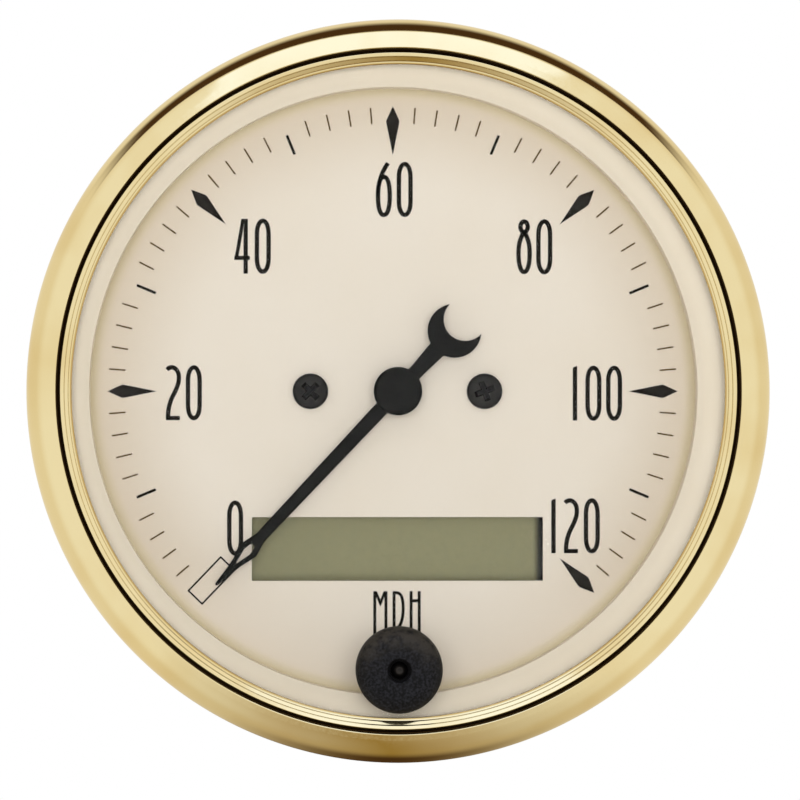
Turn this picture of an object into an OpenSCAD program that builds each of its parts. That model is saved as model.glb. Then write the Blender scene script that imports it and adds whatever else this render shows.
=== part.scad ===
// Panel speedometer with an electric crossed-coil movement, a display and a trip button
// +Y points behind the panel and the dial faces -Y; the origin is the centre of the bezel's seat

/* [Case] */
// Outer diameter of the case barrel
case_d = 78.4; // [76:0.1:90]
// Depth of the case behind the panel
case_depth = 52; // [46:0.5:70]
// Sheet thickness of the case
case_wall = 0.8; // [0.6:0.05:1]
// Outer radius of the case's rear corner
case_corner = 2.5; // [1.5:0.1:4]
// Gap between the barrel's bore and the parts inside it
case_fit = 0.2; // [0.1:0.05:0.4]

/* [Bezel] */
// Reach of the bezel's rim past the barrel
bezel_reach = 3.65; // [3.4:0.05:5]
// Height of the bezel in front of the panel
bezel_h = 9; // [8.4:0.1:12]
// Sheet thickness of the bezel
bezel_wall = 0.8; // [0.6:0.05:1]
// Radius of the bezel's outer front edge
bezel_round = 2.9; // [2:0.1:3.2]
// Radius of the bead's inner edge, beside the groove
bead_round = 0.45; // [0.2:0.05:0.6]
// Width of the bezel's face, from the rim to the window
bezel_face = 5.25; // [4.8:0.05:7]
// Width of the groove between the bead and the lip
groove_w = 0.6; // [0.3:0.05:0.8]
// Depth of the groove below the bead
groove_depth = 1.3; // [0.8:0.05:1.4]
// Depth of the lip's outer edge below the bead
lip_high = 0.5; // [0.3:0.05:0.6]
// Depth of the lip's window edge below the bead
lip_low = 1.6; // [1.2:0.05:2]
// Thickness of the lip at the window
lip_t = 0.5; // [0.4:0.05:1]
// Gap between the folded rear edge and the barrel
fold_gap = 1.2; // [1:0.05:1.5]
// Gap between the bezel's bore and what it clamps
clamp_gap = 0.25; // [0.1:0.05:0.4]

/* [Lens] */
// Thickness of the lens
lens_t = 1.6; // [1.4:0.1:3]
// Thickness of the gasket under the lip
gasket_t = 0.4; // [0.3:0.05:1]
// Step from the window's edge back to the gasket
gasket_step = 0.6; // [0.3:0.05:1]

/* [Dial] */
// Width of the spacer ring that shows inside the window
ring_show = 2.5; // [1.5:0.1:4]
// Air space between the dial and the lens
dial_gap = 4.4; // [4:0.1:7]
// Thickness of the dial plate
dial_t = 0.8; // [0.5:0.1:1.5]
// Distance between the two dial screws
dial_screw_gap = 20.2; // [18:0.1:24]
// Share of a screw head's width that its flat top keeps
screw_crown = 0.92; // [0.8:0.01:0.96]
// Head diameter of a dial screw
dial_screw_head = 4.15; // [3.5:0.05:4.6]
// Height of a dial screw's head
dial_screw_high = 1.2; // [0.8:0.1:1.4]
// Thread diameter of a dial screw
dial_screw_d = 1.9; // [1.6:0.1:2.2]
// Thread length of a dial screw
dial_screw_len = 6; // [4:0.5:7]
// Length across the arms of the cross recess
recess_len = 2.4; // [2:0.1:3]
// Width of an arm of the cross recess
recess_w = 0.7; // [0.4:0.05:0.8]
// Depth of the cross recess
recess_depth = 0.9; // [0.4:0.05:1]

/* [Display] */
// Width of the display's window
lcd_w = 33.8; // [26:0.2:36]
// Height of the display's window
lcd_h = 7.4; // [6:0.2:9]
// Distance of the display below the pointer's axis
lcd_drop = 18.3; // [17:0.1:19]
// Thickness of the display's glass
lcd_t = 2.2; // [1.6:0.1:3]
// Border of the display's glass around its window
lcd_border = 2.2; // [1.6:0.1:2.6]
// Thickness of the light guide behind the display
guide_t = 3.2; // [2.4:0.1:4]
// Width of one contact strip
strip_w = 1.3; // [1:0.1:1.5]
// Wall of the display's frame
frame_wall = 0.8; // [0.5:0.1:1]
// Thickness of the frame's front lip
frame_lip = 0.5; // [0.3:0.1:0.8]
// Width of the frame's front lip over the glass
frame_hold = 1.4; // [1:0.1:1.5]
// Gap between the frame and the dial
frame_gap = 0.3; // [0.1:0.1:0.6]

/* [Pointer] */
// Angle of the resting pointer, turned anticlockwise from the top of the dial
pointer_rest = 136.8; // [130:0.1:140]
// Length from the axis to the pointer's tip
pointer_len = 30.8; // [29:0.1:33]
// Thickness of the blade
pointer_t = 0.5; // [0.3:0.05:0.8]
// Height of the blade above the dial
pointer_lift = 1.7; // [1.6:0.1:2.2]
// Width of the blade at the cap
blade_root_w = 1.77; // [1.4:0.01:2.2]
// Width of the blade where the head starts
blade_end_w = 1.32; // [1:0.01:1.5]
// Greatest width of the head
head_w = 2.3; // [1.8:0.01:2.8]
// Distance of the head's greatest width from the tip
head_back = 5.6; // [5:0.1:6.5]
// Length of the flare from the blade to the head's greatest width
head_flare = 2; // [1:0.1:3]
// Width at the middle of the head's point
neck_w = 1.1; // [0.9:0.01:1.3]
// Width of the tip
tip_w = 0.36; // [0.2:0.01:0.6]
// Length of the open slot in the head
slot_len = 2.95; // [2:0.05:3.2]
// Greatest width of the open slot
slot_w = 1.06; // [0.7:0.01:1.3]
// Width of the tail's stem at the cap
stem_root_w = 1.69; // [1.4:0.01:2]
// Width of the tail's stem at the crescent
stem_end_w = 2.1; // [1.7:0.01:2.4]
// Distance from the axis to the crescent's outer circle centre
moon_at = 9.6; // [9:0.1:11]
// Radius of the crescent's outer circle
moon_r = 3.12; // [2.8:0.01:3.4]
// Radius of the crescent's mouth
mouth_r = 2.5; // [2.2:0.01:2.7]
// Distance between the two circles of the crescent
mouth_shift = 1.81; // [1.6:0.01:2]
// Diameter of the cap
cap_d = 5.6; // [4.5:0.1:7]
// Height of the cap
cap_h = 1.4; // [1:0.1:1.8]
// Bevel of the cap's edge
cap_bevel = 0.3; // [0.1:0.05:0.5]
// Diameter of the bush under the blade
bush_d = 3.2; // [2.4:0.1:4]
// Height of the bush
bush_h = 1.4; // [0.8:0.1:1.6]

/* [Button] */
// Diameter of the knob
knob_d = 10; // [8:0.1:11]
// Height of the knob
knob_h = 4.2; // [3:0.1:6]
// Bevel of the knob's edges
knob_bevel = 0.6; // [0.2:0.05:0.8]
// Diameter of the hole in front of the rod's end
eye_d = 2.7; // [2.4:0.1:3.4]
// Distance from the button's axis to the spacer ring's bore
button_inset = 3.1; // [2.8:0.1:4]
// Travel of the button
button_travel = 0.8; // [0.4:0.1:1]
// Diameter of the rod
rod_d = 2; // [1.6:0.1:2.4]
// Depth of the rod's end below the knob's face
rod_recess = 0.8; // [0.4:0.1:1.2]
// Diameter of the hole in the lens
lens_hole_d = 3.8; // [3.6:0.1:4.2]
// Diameter of the grommet's front flange
grommet_d = 7; // [6:0.1:8]
// Thickness of one grommet flange
grommet_flange = 0.6; // [0.4:0.1:0.8]
// Gap left under the knob at full travel
knob_gap = 0.3; // [0.2:0.05:0.6]
// Diameter of the clip on the rod
clip_d = 4.2; // [3.6:0.1:4.8]
// Thickness of the clip
clip_t = 0.5; // [0.3:0.05:0.6]
// Depth of the clip's groove in the rod
clip_bite = 0.25; // [0.15:0.05:0.35]

/* [Board] */
// Thickness of the circuit board
board_t = 1.6; // [1:0.1:2]
// Height from the axis to the flat on the board's top
board_flat = 28; // [26:0.5:30]
// Distance of the board screws from the board's edge
board_screw_inset = 3.7; // [3.2:0.1:5]
// Thread diameter of a board screw
board_screw_d = 2; // [1.6:0.1:2.4]
// Thread length of a board screw
board_screw_len = 7; // [4:0.5:8]
// Head diameter of a board screw
board_screw_head = 4; // [3.4:0.1:4.6]
// Height of a board screw's head
board_screw_high = 1.3; // [0.8:0.1:1.6]
// Gap between the clock crystal and the movement's flange
crystal_gap = 3.2; // [0.5:0.1:4]
// Side of the push switch
switch_side = 6; // [5:0.1:6.4]
// Height of the push switch's body
switch_h = 3.5; // [3:0.1:4]
// Diameter of the switch's plunger
plunger_d = 3.4; // [2.8:0.1:3.8]
// Height of the plunger above the switch at rest
plunger_proud = 1.4; // [1.2:0.1:1.6]
// Side of the processor
chip_side = 12; // [8:0.5:14]
// Thickness of the processor
chip_t = 2; // [1:0.1:3]
// Diameter of a filter capacitor
capacitor_d = 8; // [6:0.5:9]
// Height of a filter capacitor
capacitor_h = 11; // [8:0.5:13]

/* [Light cup] */
// Wall of the light cup
cup_wall = 1.8; // [1.4:0.1:2.2]
// Width of the ledge under the board
ledge_w = 2.2; // [1.5:0.1:3]
// Thickness of the ledge and of the foot
ledge_t = 2; // [1.5:0.1:3]
// Width of the foot on the case's floor
foot_w = 3; // [2:0.1:4]
// Outer diameter of a screw boss
boss_d = 5; // [4.6:0.1:5.6]
// Length of a screw boss
boss_len = 10; // [9:0.5:14]

/* [Movement] */
// Diameter of the rotor magnet
magnet_d = 12; // [10:0.1:12.6]
// Thickness of the rotor magnet
magnet_t = 4.5; // [3:0.1:6]
// Air gap around the magnet
magnet_gap = 0.6; // [0.4:0.05:0.8]
// Wall of the bobbin around the magnet
bobbin_wall = 1; // [0.8:0.05:1.2]
// Thickness of the bobbin's front flange
bobbin_flange = 1.5; // [1:0.1:2]
// Thickness of one coil's winding
coil_t = 1.1; // [0.8:0.05:1.2]
// Width of one coil bundle beside the spindle
bundle_w = 2.4; // [1.8:0.1:2.5]
// Gap between the windings and the bobbin
coil_gap = 0.1; // [0.05:0.01:0.2]
// Diameter of the bearing towers
tower_d = 3.2; // [2.8:0.1:3.4]
// Diameter of a corner horn
horn_d = 2.6; // [2.2:0.1:2.8]
// Wall of the shield can
shield_wall = 0.8; // [0.5:0.05:1]
// Diameter of a dial post
post_d = 3.8; // [3.4:0.1:4.2]
// Diameter of the spindle
spindle_d = 1.2; // [1:0.05:1.5]
// Running clearance of the spindle and the rod, on the radius
running_fit = 0.05; // [0.02:0.01:0.08]
// Diameter of a coil pin
pin_d = 0.8; // [0.6:0.05:0.9]

/* [Rear] */
// Distance of the studs, the lamp and the lead outlet in from the barrel's side
rear_inset = 17.2; // [16:0.1:19]
// Thread diameter of a mounting stud
stud_d = 4.8; // [4:0.1:5.2]
// Length of a mounting stud behind the case
stud_len = 20; // [12:0.5:30]
// Diameter of a stud's shoulder in the case wall
shoulder_d = 6; // [5.6:0.1:7]
// Diameter of a stud's head inside the case
stud_head_d = 10; // [8:0.1:12]
// Thickness of a stud's head and of its staked collar
stud_head_t = 1.5; // [1:0.1:2]
// Diameter of the lead outlet's bore
lead_d = 6; // [4:0.1:7]
// Wall of the lead outlet's sleeve
lead_wall = 1.6; // [1.2:0.1:2]
// Length of the lead outlet's sleeve behind the case
lead_len = 6; // [4:0.1:8]
// Lip of the lead outlet beyond the hole in the case
lead_lip = 1.6; // [1:0.1:2]

/* [Lamp] */
// Diameter of the lamp socket's neck in the case
socket_d = 13; // [12.4:0.1:14]
// Gap between the neck and its hole, on the radius
socket_gap = 0.15; // [0.1:0.05:0.3]
// Depth of the socket inside the case
socket_depth = 9; // [7:0.1:11]
// Diameter of the socket's outer flange
socket_flange_d = 18; // [17.4:0.1:20]
// Thickness of the socket's flange
socket_flange_t = 1.5; // [1:0.1:2]
// Height of the socket's finger grip
grip_h = 5; // [3:0.1:7]
// Thickness of the socket's finger grip
grip_t = 3.2; // [2:0.1:4]
// Reach of a locking lug past the neck
lug_reach = 1.6; // [1.2:0.1:2]
// Width of a locking lug
lug_w = 3.4; // [2.6:0.1:4]
// Thickness of a locking lug
lug_t = 1.2; // [0.8:0.1:1.6]
// Gap between a lug and the case
lug_gap = 0.15; // [0.1:0.05:0.3]
// Diameter of the bulb's glass
bulb_d = 9.6; // [9:0.1:10]
// Length of the bulb's glass in front of the socket
bulb_len = 14; // [10:0.5:17]
// Width of the bulb's wedge base
wedge_w = 8.4; // [7:0.1:8.8]
// Thickness of the bulb's wedge base
wedge_t = 2.6; // [2:0.1:3]
// Thickness of a lamp contact
contact_t = 0.4; // [0.3:0.05:0.6]

/* [Hidden] */
$fn = 96;

// Overshoot of a cut and clearance of a fixed fit
past = 0.5;
snug = 0.02;

// Radii, from the barrel outwards and inwards
case_r = case_d / 2;
case_in_r = case_r - case_wall;
rear_at = case_r - rear_inset;
bezel_r = case_r + bezel_reach;
bezel_in_r = bezel_r - bezel_wall;
clamp_r = bezel_in_r - clamp_gap;
fold_r = case_r + fold_gap;
crest_r = bezel_r - bezel_round;
groove_r = crest_r - bead_round;
lip_r = groove_r - groove_w;
window_r = bezel_r - bezel_face;
gasket_in_r = window_r + gasket_step;
gasket_out_r = crest_r;
ring_in_r = window_r - ring_show;
inner_r = case_in_r - case_fit;
cup_in_r = inner_r - cup_wall;
board_r = cup_in_r - case_fit;
board_screw_r = board_r - board_screw_inset;
button_y = button_inset - ring_in_r;
rod_r = rod_d / 2;
grommet_rear_r = button_inset - clamp_gap;

// Heights along the axis, positive towards the viewer
flange_front = bezel_wall + case_wall;
lip_under = bezel_h - lip_low - lip_t;
lens_front = lip_under - gasket_t;
lens_rear = lens_front - lens_t;
dial_front = lens_rear - dial_gap;
dial_rear = dial_front - dial_t;
frame_front = dial_rear - frame_gap;
lcd_front = frame_front - frame_lip;
guide_front = lcd_front - lcd_t;
board_front = guide_front - guide_t;
board_rear = board_front - board_t;
blade_rear = dial_front + pointer_lift;
blade_front = blade_rear + pointer_t;
case_rear = -case_depth;
floor_z = case_rear + case_wall;

// Button and switch heights
switch_front = board_front + switch_h;
rod_rear = switch_front + plunger_proud;
knob_rear = lens_front + grommet_flange + button_travel + knob_gap;
knob_front = knob_rear + knob_h;
rod_front = knob_front - rod_recess;
clip_front = lens_rear - grommet_flange - running_fit;
clip_rear = clip_front - clip_t;
plunger_depth = button_travel + plunger_proud;
plunger_rear = switch_front - plunger_depth / 2;

// Movement heights, from the board backwards
flange_rear = board_rear - bobbin_flange;
cosine_top = flange_rear - coil_gap;
sine_top = cosine_top - coil_t - coil_gap;
body_top = sine_top - coil_t - coil_gap;
body_h = magnet_t + 2 * (magnet_gap + bobbin_wall);
body_mid = body_top - body_h / 2;
body_bottom = body_top - body_h;
sine_bottom = body_bottom - coil_gap - coil_t;
cosine_bottom = sine_bottom - coil_gap - coil_t;
shield_floor = cosine_bottom - coil_gap;
magnet_top = body_mid + magnet_t / 2;

// Movement radii
magnet_r = magnet_d / 2;
cavity_r = magnet_r + magnet_gap;
body_r = cavity_r + bobbin_wall;
coil_in = body_r + coil_gap;
coil_out = coil_in + coil_t;
tower_r = tower_d / 2;
bundle_in = tower_r + 3 * coil_gap;
bundle_out = bundle_in + bundle_w;
horn_r = horn_d / 2;
horn_at = bundle_out + horn_r + 3 * coil_gap;
shield_in_r = max(norm([coil_out, bundle_out]), horn_at * sqrt(2) + horn_r) + 4 * coil_gap;
shield_r = shield_in_r + shield_wall;
post_at = dial_screw_gap / 2;
bobbin_r = max(shield_r, post_at + post_d / 2) + past;
bearing_r = spindle_d / 2 + running_fit;
spindle_front = blade_front + cap_h / 2;
spindle_rear = (body_bottom + shield_floor) / 2;

// Lamp heights, from the back of the case forwards
socket_front = floor_z + socket_depth;
socket_cup = bulb_d / 2 + case_fit;
wedge_rear = case_rear;
lug_rear = floor_z + lug_gap;
twist = 45;

// Placement of the board's own parts, right and up from the axis
chip_place = [0, -rear_at];
regulator_place = [1 - rear_at, 0];
header_place = [rear_at - 2, -rear_at / 2];
regulator_size = [10, 15, 4.5];
crystal_size = [11, 4.6, 3.6];
crystal_place = [0, bobbin_r + crystal_gap + crystal_size[1] / 2];
header_size = [10.2, 2.6, 8.5];
board_screw_angles = [35, 145, 215, 325];
capacitor_places = [[rear_at - 2, -3.5], [rear_at - 2, 6.5]];

// Turns the face frame, x right, y up and z towards the viewer, so that the dial faces -Y
module facing() {
    rotate([90, 0, 0]) children();
}

module disc(r, low, high) {
    translate([0, 0, low]) cylinder(h = high - low, r = r);
}

module tube(r_out, r_in, low, high) {
    difference() {
        disc(r_out, low, high);
        disc(r_in, low - past, high + past);
    }
}

// Plate centred on the axis
module slab(w, h, low, high) {
    translate([-w / 2, -h / 2, low]) cube([w, h, high - low]);
}

module at_button() {
    translate([0, button_y, 0]) children();
}

module at_lamp() {
    translate([0, rear_at, 0]) children();
}

module at_lead() {
    translate([0, -rear_at, 0]) children();
}

module at_display() {
    translate([0, -lcd_drop, 0]) children();
}

module each_dial_screw() {
    for (side = [-1, 1]) translate([side * post_at, 0, 0]) children();
}

module each_board_screw() {
    for (a = board_screw_angles) rotate([0, 0, a]) translate([board_screw_r, 0, 0]) children();
}

module each_horn() {
    for (x = [-1, 1], y = [-1, 1]) translate([x * horn_at, y * horn_at, 0]) children();
}

module each_stud() {
    for (side = [-1, 1]) translate([side * rear_at, 0, 0]) children();
}

module cross_recess(top) {
    for (turn = [0, 90]) rotate([0, 0, turn]) slab(recess_len, recess_w, top - recess_depth, top + past);
}

// Pan-head screw whose head rests on the given height
module pan_screw(seat, head_d, head_h, thread_d, thread_len) {
    difference() {
        union() {
            translate([0, 0, seat]) cylinder(h = head_h, r1 = head_d / 2, r2 = screw_crown * head_d / 2);
            disc(thread_d / 2, seat - thread_len, seat + head_h / 2);
        }
        cross_recess(seat + head_h);
    }
}

// Quarter of a disc in the upper right or, mirrored, the upper left
module quarter(r, side) {
    intersection() {
        circle(r = r);
        translate([side > 0 ? 0 : -r, 0]) square(r);
    }
}

// Half section of the folded bezel sheet, radius across and height up
module bezel_section() {
    // Rounded rim, from the side to the bead's crest
    translate([crest_r, bezel_h - bezel_round]) difference() {
        quarter(bezel_round, 1);
        circle(r = bezel_round - bezel_wall);
    }
    // Side wall and the edge folded in behind the case's flange
    translate([bezel_in_r, bezel_wall]) square([bezel_wall, bezel_h - bezel_round - bezel_wall]);
    translate([fold_r, 0]) square([bezel_in_r - fold_r, bezel_wall]);
    translate([bezel_in_r, bezel_wall]) mirror([0, 1]) quarter(bezel_wall, 1);
    // Bead's inner edge
    translate([crest_r, bezel_h - bead_round]) quarter(bead_round, -1);
    translate([groove_r, lip_under]) square([bead_round, bezel_h - bead_round - lip_under]);
    // Groove and sloped lip
    polygon([
        [groove_r, lip_under],
        [groove_r, bezel_h - groove_depth],
        [lip_r, bezel_h - lip_high],
        [window_r, bezel_h - lip_low],
        [window_r, lip_under]
    ]);
}

module bezel() {
    color("gold") facing() rotate_extrude() bezel_section();
}

module lens_gasket() {
    color("dimgray") facing() tube(gasket_out_r, gasket_in_r, lens_front, lip_under);
}

module lens() {
    color("lightcyan", 0.3) facing() difference() {
        disc(clamp_r, lens_rear, lens_front);
        at_button() disc(lens_hole_d / 2, lens_rear - past, lens_front + past);
    }
}

module lens_grommet() {
    color("black") facing() at_button() difference() {
        union() {
            disc(lens_hole_d / 2 - snug, lens_rear, lens_front);
            disc(grommet_d / 2, lens_front, lens_front + grommet_flange);
            disc(grommet_rear_r, lens_rear - grommet_flange, lens_rear);
        }
        disc(rod_r + running_fit, lens_rear - 2 * past, lens_front + 2 * past);
    }
}

module spacer_ring() {
    color("wheat") facing() difference() {
        union() {
            disc(clamp_r, flange_front, lens_rear);
            disc(inner_r, dial_front, flange_front);
        }
        disc(ring_in_r, dial_front - past, lens_rear + past);
    }
}

module dial_plate() {
    color("antiquewhite") facing() difference() {
        disc(inner_r, dial_rear, dial_front);
        disc(bush_d / 2, dial_rear - past, dial_front + past);
        each_dial_screw() disc(dial_screw_d / 2 + snug, dial_rear - past, dial_front + past);
        at_button() disc(rod_r + past, dial_rear - past, dial_front + past);
        at_display() slab(lcd_w, lcd_h, dial_rear - past, dial_front + past);
    }
}

module dial_screws() {
    color("#464240") facing() each_dial_screw()
        pan_screw(dial_front, dial_screw_head, dial_screw_high, dial_screw_d, dial_screw_len);
}

module lcd_panel() {
    color("#8d8e70") facing() at_display()
        slab(lcd_w + 2 * lcd_border, lcd_h + 2 * lcd_border, guide_front, lcd_front);
}

// Frame that clips the display's glass to the board
module lcd_frame() {
    inside = [lcd_w + 2 * (lcd_border + snug), lcd_h + 2 * (lcd_border + snug)];
    color("#202020") facing() at_display() difference() {
        slab(inside[0] + 2 * frame_wall, inside[1] + 2 * frame_wall, board_front, frame_front);
        slab(inside[0], inside[1], board_front - past, lcd_front);
        slab(inside[0] - 2 * frame_hold, inside[1] - 2 * frame_hold, lcd_front - past, frame_front + past);
    }
}

// Soft contact strips between the display's glass and the board
module lcd_connectors() {
    reach = lcd_h / 2 + lcd_border - strip_w / 2;
    color("#c8607a") facing() at_display() for (side = [-1, 1])
        translate([0, side * reach, 0]) slab(lcd_w, strip_w, board_front, guide_front);
}

module light_guide() {
    color("whitesmoke") facing() at_display()
        slab(lcd_w, lcd_h + 2 * (lcd_border - strip_w - snug), board_front, guide_front);
}

module circuit_board() {
    low = board_rear - past;
    high = board_front + past;
    color("darkgreen") facing() difference() {
        disc(board_r, board_rear, board_front);
        translate([-case_r, board_flat, low]) cube([case_d, case_r, high - low]);
        disc(tower_r + case_fit, low, high);
        each_dial_screw() disc(post_d / 2 + case_fit, low, high);
        each_horn() disc(pin_d / 2 + snug, low, high);
        each_board_screw() disc(board_screw_d / 2 + snug, low, high);
    }
}

module board_screws() {
    color("silver") facing() each_board_screw()
        pan_screw(board_front, board_screw_head, board_screw_high, board_screw_d, board_screw_len + board_t);
}

module switch_body() {
    color("#303030") facing() at_button() difference() {
        slab(switch_side, switch_side, board_front, switch_front);
        disc(plunger_d / 2 + running_fit, switch_front - plunger_depth, switch_front + past);
    }
}

// Flat package with bent leads along two sides
module processor_chip() {
    lead_pitch = 1.27;
    lead_count = floor(chip_side / lead_pitch) - 1;
    color("#1c1c1c") facing() translate(chip_place) {
        slab(chip_side, chip_side, board_rear - chip_t, board_rear);
        for (i = [0 : lead_count - 1])
            translate([0, (i - (lead_count - 1) / 2) * lead_pitch, 0])
                slab(chip_side + 2 * chip_t, lead_pitch / 3, board_rear - chip_t / 2, board_rear);
    }
}

// Flat power package with its metal tab
module voltage_regulator() {
    tab = regulator_size[0] / 2;
    hole_r = regulator_size[2] / 3;
    color("#2a2a2a") facing() translate(regulator_place) difference() {
        union() {
            slab(regulator_size[0], regulator_size[1], board_rear - regulator_size[2], board_rear);
            translate([0, (regulator_size[1] + tab) / 2, 0])
                slab(regulator_size[0], tab, board_rear - regulator_size[2] / 3, board_rear);
        }
        translate([0, (regulator_size[1] + tab) / 2, 0])
            disc(hole_r, board_rear - regulator_size[2], board_rear + past);
    }
}

module filter_capacitors() {
    rim = capacitor_d / 16;
    color("#24344c") facing() for (place = capacitor_places) translate(place) difference() {
        disc(capacitor_d / 2, board_rear - capacitor_h, board_rear);
        tube(capacitor_d, capacitor_d / 2 - rim, board_rear - 4 * rim, board_rear - 3 * rim);
    }
}

module clock_crystal() {
    round_r = crystal_size[1] / 2;
    length = crystal_size[0] - crystal_size[1];
    color("silver") facing() translate(crystal_place) {
        slab(length, crystal_size[1], board_rear - crystal_size[2], board_rear);
        for (side = [-1, 1]) translate([side * length / 2, 0, 0])
            disc(round_r, board_rear - crystal_size[2], board_rear);
    }
}

// Pin header that takes the leads' plug
module lead_header() {
    pin_count = 4;
    pitch = header_size[0] / pin_count;
    base_h = header_size[2] / 3;
    color("#202020") facing() translate(header_place) {
        slab(header_size[0], header_size[1], board_rear - base_h, board_rear);
        for (i = [0 : pin_count - 1]) translate([(i - (pin_count - 1) / 2) * pitch, 0, 0])
            slab(pitch / 4, pitch / 4, board_rear - header_size[2], board_rear);
    }
}

// Half of the magnet's drum with its bearing tower and corner horns, between two heights
module bobbin_half(low, high, tower_low, tower_high) {
    difference() {
        union() {
            disc(body_r, max(low, body_bottom), min(high, body_top));
            disc(tower_r, tower_low, tower_high);
            each_horn() disc(horn_r, low, high);
        }
        disc(cavity_r, body_bottom + bobbin_wall, body_top - bobbin_wall);
    }
}

module upper_bobbin() {
    pilot = dial_screw_len + past;
    color("#e8e4d8") facing() difference() {
        union() {
            bobbin_half(body_mid, flange_rear, body_top - bobbin_wall / 2, frame_front);
            disc(bobbin_r, flange_rear, board_rear);
            each_dial_screw() disc(post_d / 2, flange_rear, dial_rear);
        }
        disc(bearing_r, body_bottom, dial_rear + past);
        each_dial_screw() disc(dial_screw_d / 2 + snug, dial_rear - pilot, dial_rear + past);
        each_horn() disc(pin_d / 2 + snug, body_top, board_rear + past);
    }
}

module lower_bobbin() {
    color("#e8e4d8") facing() difference() {
        bobbin_half(shield_floor, body_mid, shield_floor, body_bottom + bobbin_wall / 2);
        disc(bearing_r, spindle_rear - running_fit, body_mid);
    }
}

// One coil: two flat bundles, left and right of the spindle
module coil(top, bottom) {
    for (side = [-1, 1]) translate([0, side * (bundle_in + bundle_out) / 2, 0]) difference() {
        slab(2 * coil_out, bundle_w, bottom, top);
        slab(2 * coil_in, bundle_w + past, bottom + coil_t, top - coil_t);
    }
}

module sine_coil() {
    color("#b5622c") facing() coil(sine_top, sine_bottom);
}

module cosine_coil() {
    color("#c4743a") facing() rotate([0, 0, 90]) coil(cosine_top, cosine_bottom);
}

module coil_pins() {
    color("silver") facing() each_horn() disc(pin_d / 2, body_top, board_front + 2 * past);
}

module shield_can() {
    color("silver") facing() difference() {
        disc(shield_r, shield_floor - shield_wall, flange_rear);
        disc(shield_in_r, shield_floor, flange_rear + past);
    }
}

// White sleeve that stands on the case's floor and carries the board and the dial
module light_cup() {
    heel = case_corner;
    section = [
        [inner_r, dial_rear],
        [inner_r, floor_z + heel],
        [inner_r - heel, floor_z],
        [cup_in_r - foot_w, floor_z],
        [cup_in_r - foot_w, floor_z + ledge_t],
        [inner_r - heel, floor_z + ledge_t],
        [cup_in_r, floor_z + ledge_t + heel],
        [cup_in_r, board_rear - ledge_t],
        [cup_in_r - ledge_w, board_rear - ledge_t],
        [cup_in_r - ledge_w, board_rear],
        [cup_in_r, board_rear],
        [cup_in_r, dial_rear]
    ];
    color("white") facing() difference() {
        union() {
            rotate_extrude() polygon(section);
            each_board_screw() disc(boss_d / 2, board_rear - boss_len, board_rear - case_fit);
        }
        each_board_screw() disc(board_screw_d / 2 + snug, board_rear - board_screw_len - past, board_rear + past);
    }
}

// Half section of a cup with a rounded lower corner
module cup_section(r, low, high, corner) {
    translate([0, low + corner]) square([r, high - low - corner]);
    translate([0, low]) square([r - corner, corner]);
    translate([r - corner, low + corner]) mirror([0, 1]) quarter(corner, 1);
}

module case() {
    slot_r = socket_d / 2 + lug_reach + 2 * socket_gap;
    low = case_rear - past;
    high = floor_z + past;
    color("silver") facing() difference() {
        rotate_extrude() difference() {
            cup_section(case_r, case_rear, bezel_wall, case_corner);
            cup_section(case_in_r, floor_z, bezel_wall + past, case_corner - case_wall);
        }
        each_stud() disc(shoulder_d / 2 + snug, low, high);
        at_lead() disc(lead_d / 2 + lead_wall + snug, low, high);
        at_lamp() disc(socket_d / 2 + socket_gap, low, high);
        // Keyways that let the socket's lugs through once it is turned
        at_lamp() rotate([0, 0, -twist]) slab(2 * slot_r, lug_w + 4 * socket_gap, low, high);
    }
}

// Flat rim brazed to the barrel's mouth, which the bezel is folded over
module case_rim() {
    color("silver") facing() tube(clamp_r, case_in_r, bezel_wall, flange_front);
}

// Threaded stud with a head inside and a staked collar outside the case
module mounting_studs() {
    collar_rear = case_rear - stud_head_t;
    collar_d = (shoulder_d + stud_head_d) / 2;
    color("silver") facing() each_stud() {
        disc(stud_head_d / 2, floor_z, floor_z + stud_head_t);
        disc(shoulder_d / 2, case_rear, floor_z);
        disc(collar_d / 2, collar_rear, case_rear);
        disc(stud_d / 2, case_rear - stud_len, collar_rear);
    }
}

// Rubber outlet with a lip on each side of the case wall
module lead_grommet() {
    sleeve_r = lead_d / 2 + lead_wall;
    lip_r_out = sleeve_r + lead_lip;
    color("#1a1a1a") facing() at_lead() difference() {
        union() {
            disc(sleeve_r, case_rear, floor_z);
            disc(lip_r_out, floor_z, floor_z + lead_lip);
            disc(lip_r_out, case_rear - lead_lip, case_rear);
            translate([0, 0, case_rear - lead_len])
                cylinder(h = lead_len - lead_lip, r1 = sleeve_r - lead_wall / 3, r2 = sleeve_r);
        }
        disc(lead_d / 2, case_rear - lead_len - past, floor_z + lead_lip + past);
    }
}

// Flat sheet of the pointer's thickness, stretched both ways to serve as a cut
module pointer_sheet(points, stretch = 0) {
    translate([0, 0, blade_rear - stretch]) linear_extrude(pointer_t + 2 * stretch) polygon(points);
}

// Right half of an outline and its mirrored left half
function both_sides(half) = concat(
    [for (p = half) [p[0] / 2, p[1]]],
    [for (i = [len(half) - 1 : -1 : 0]) [-half[i][0] / 2, half[i][1]]]
);

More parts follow.
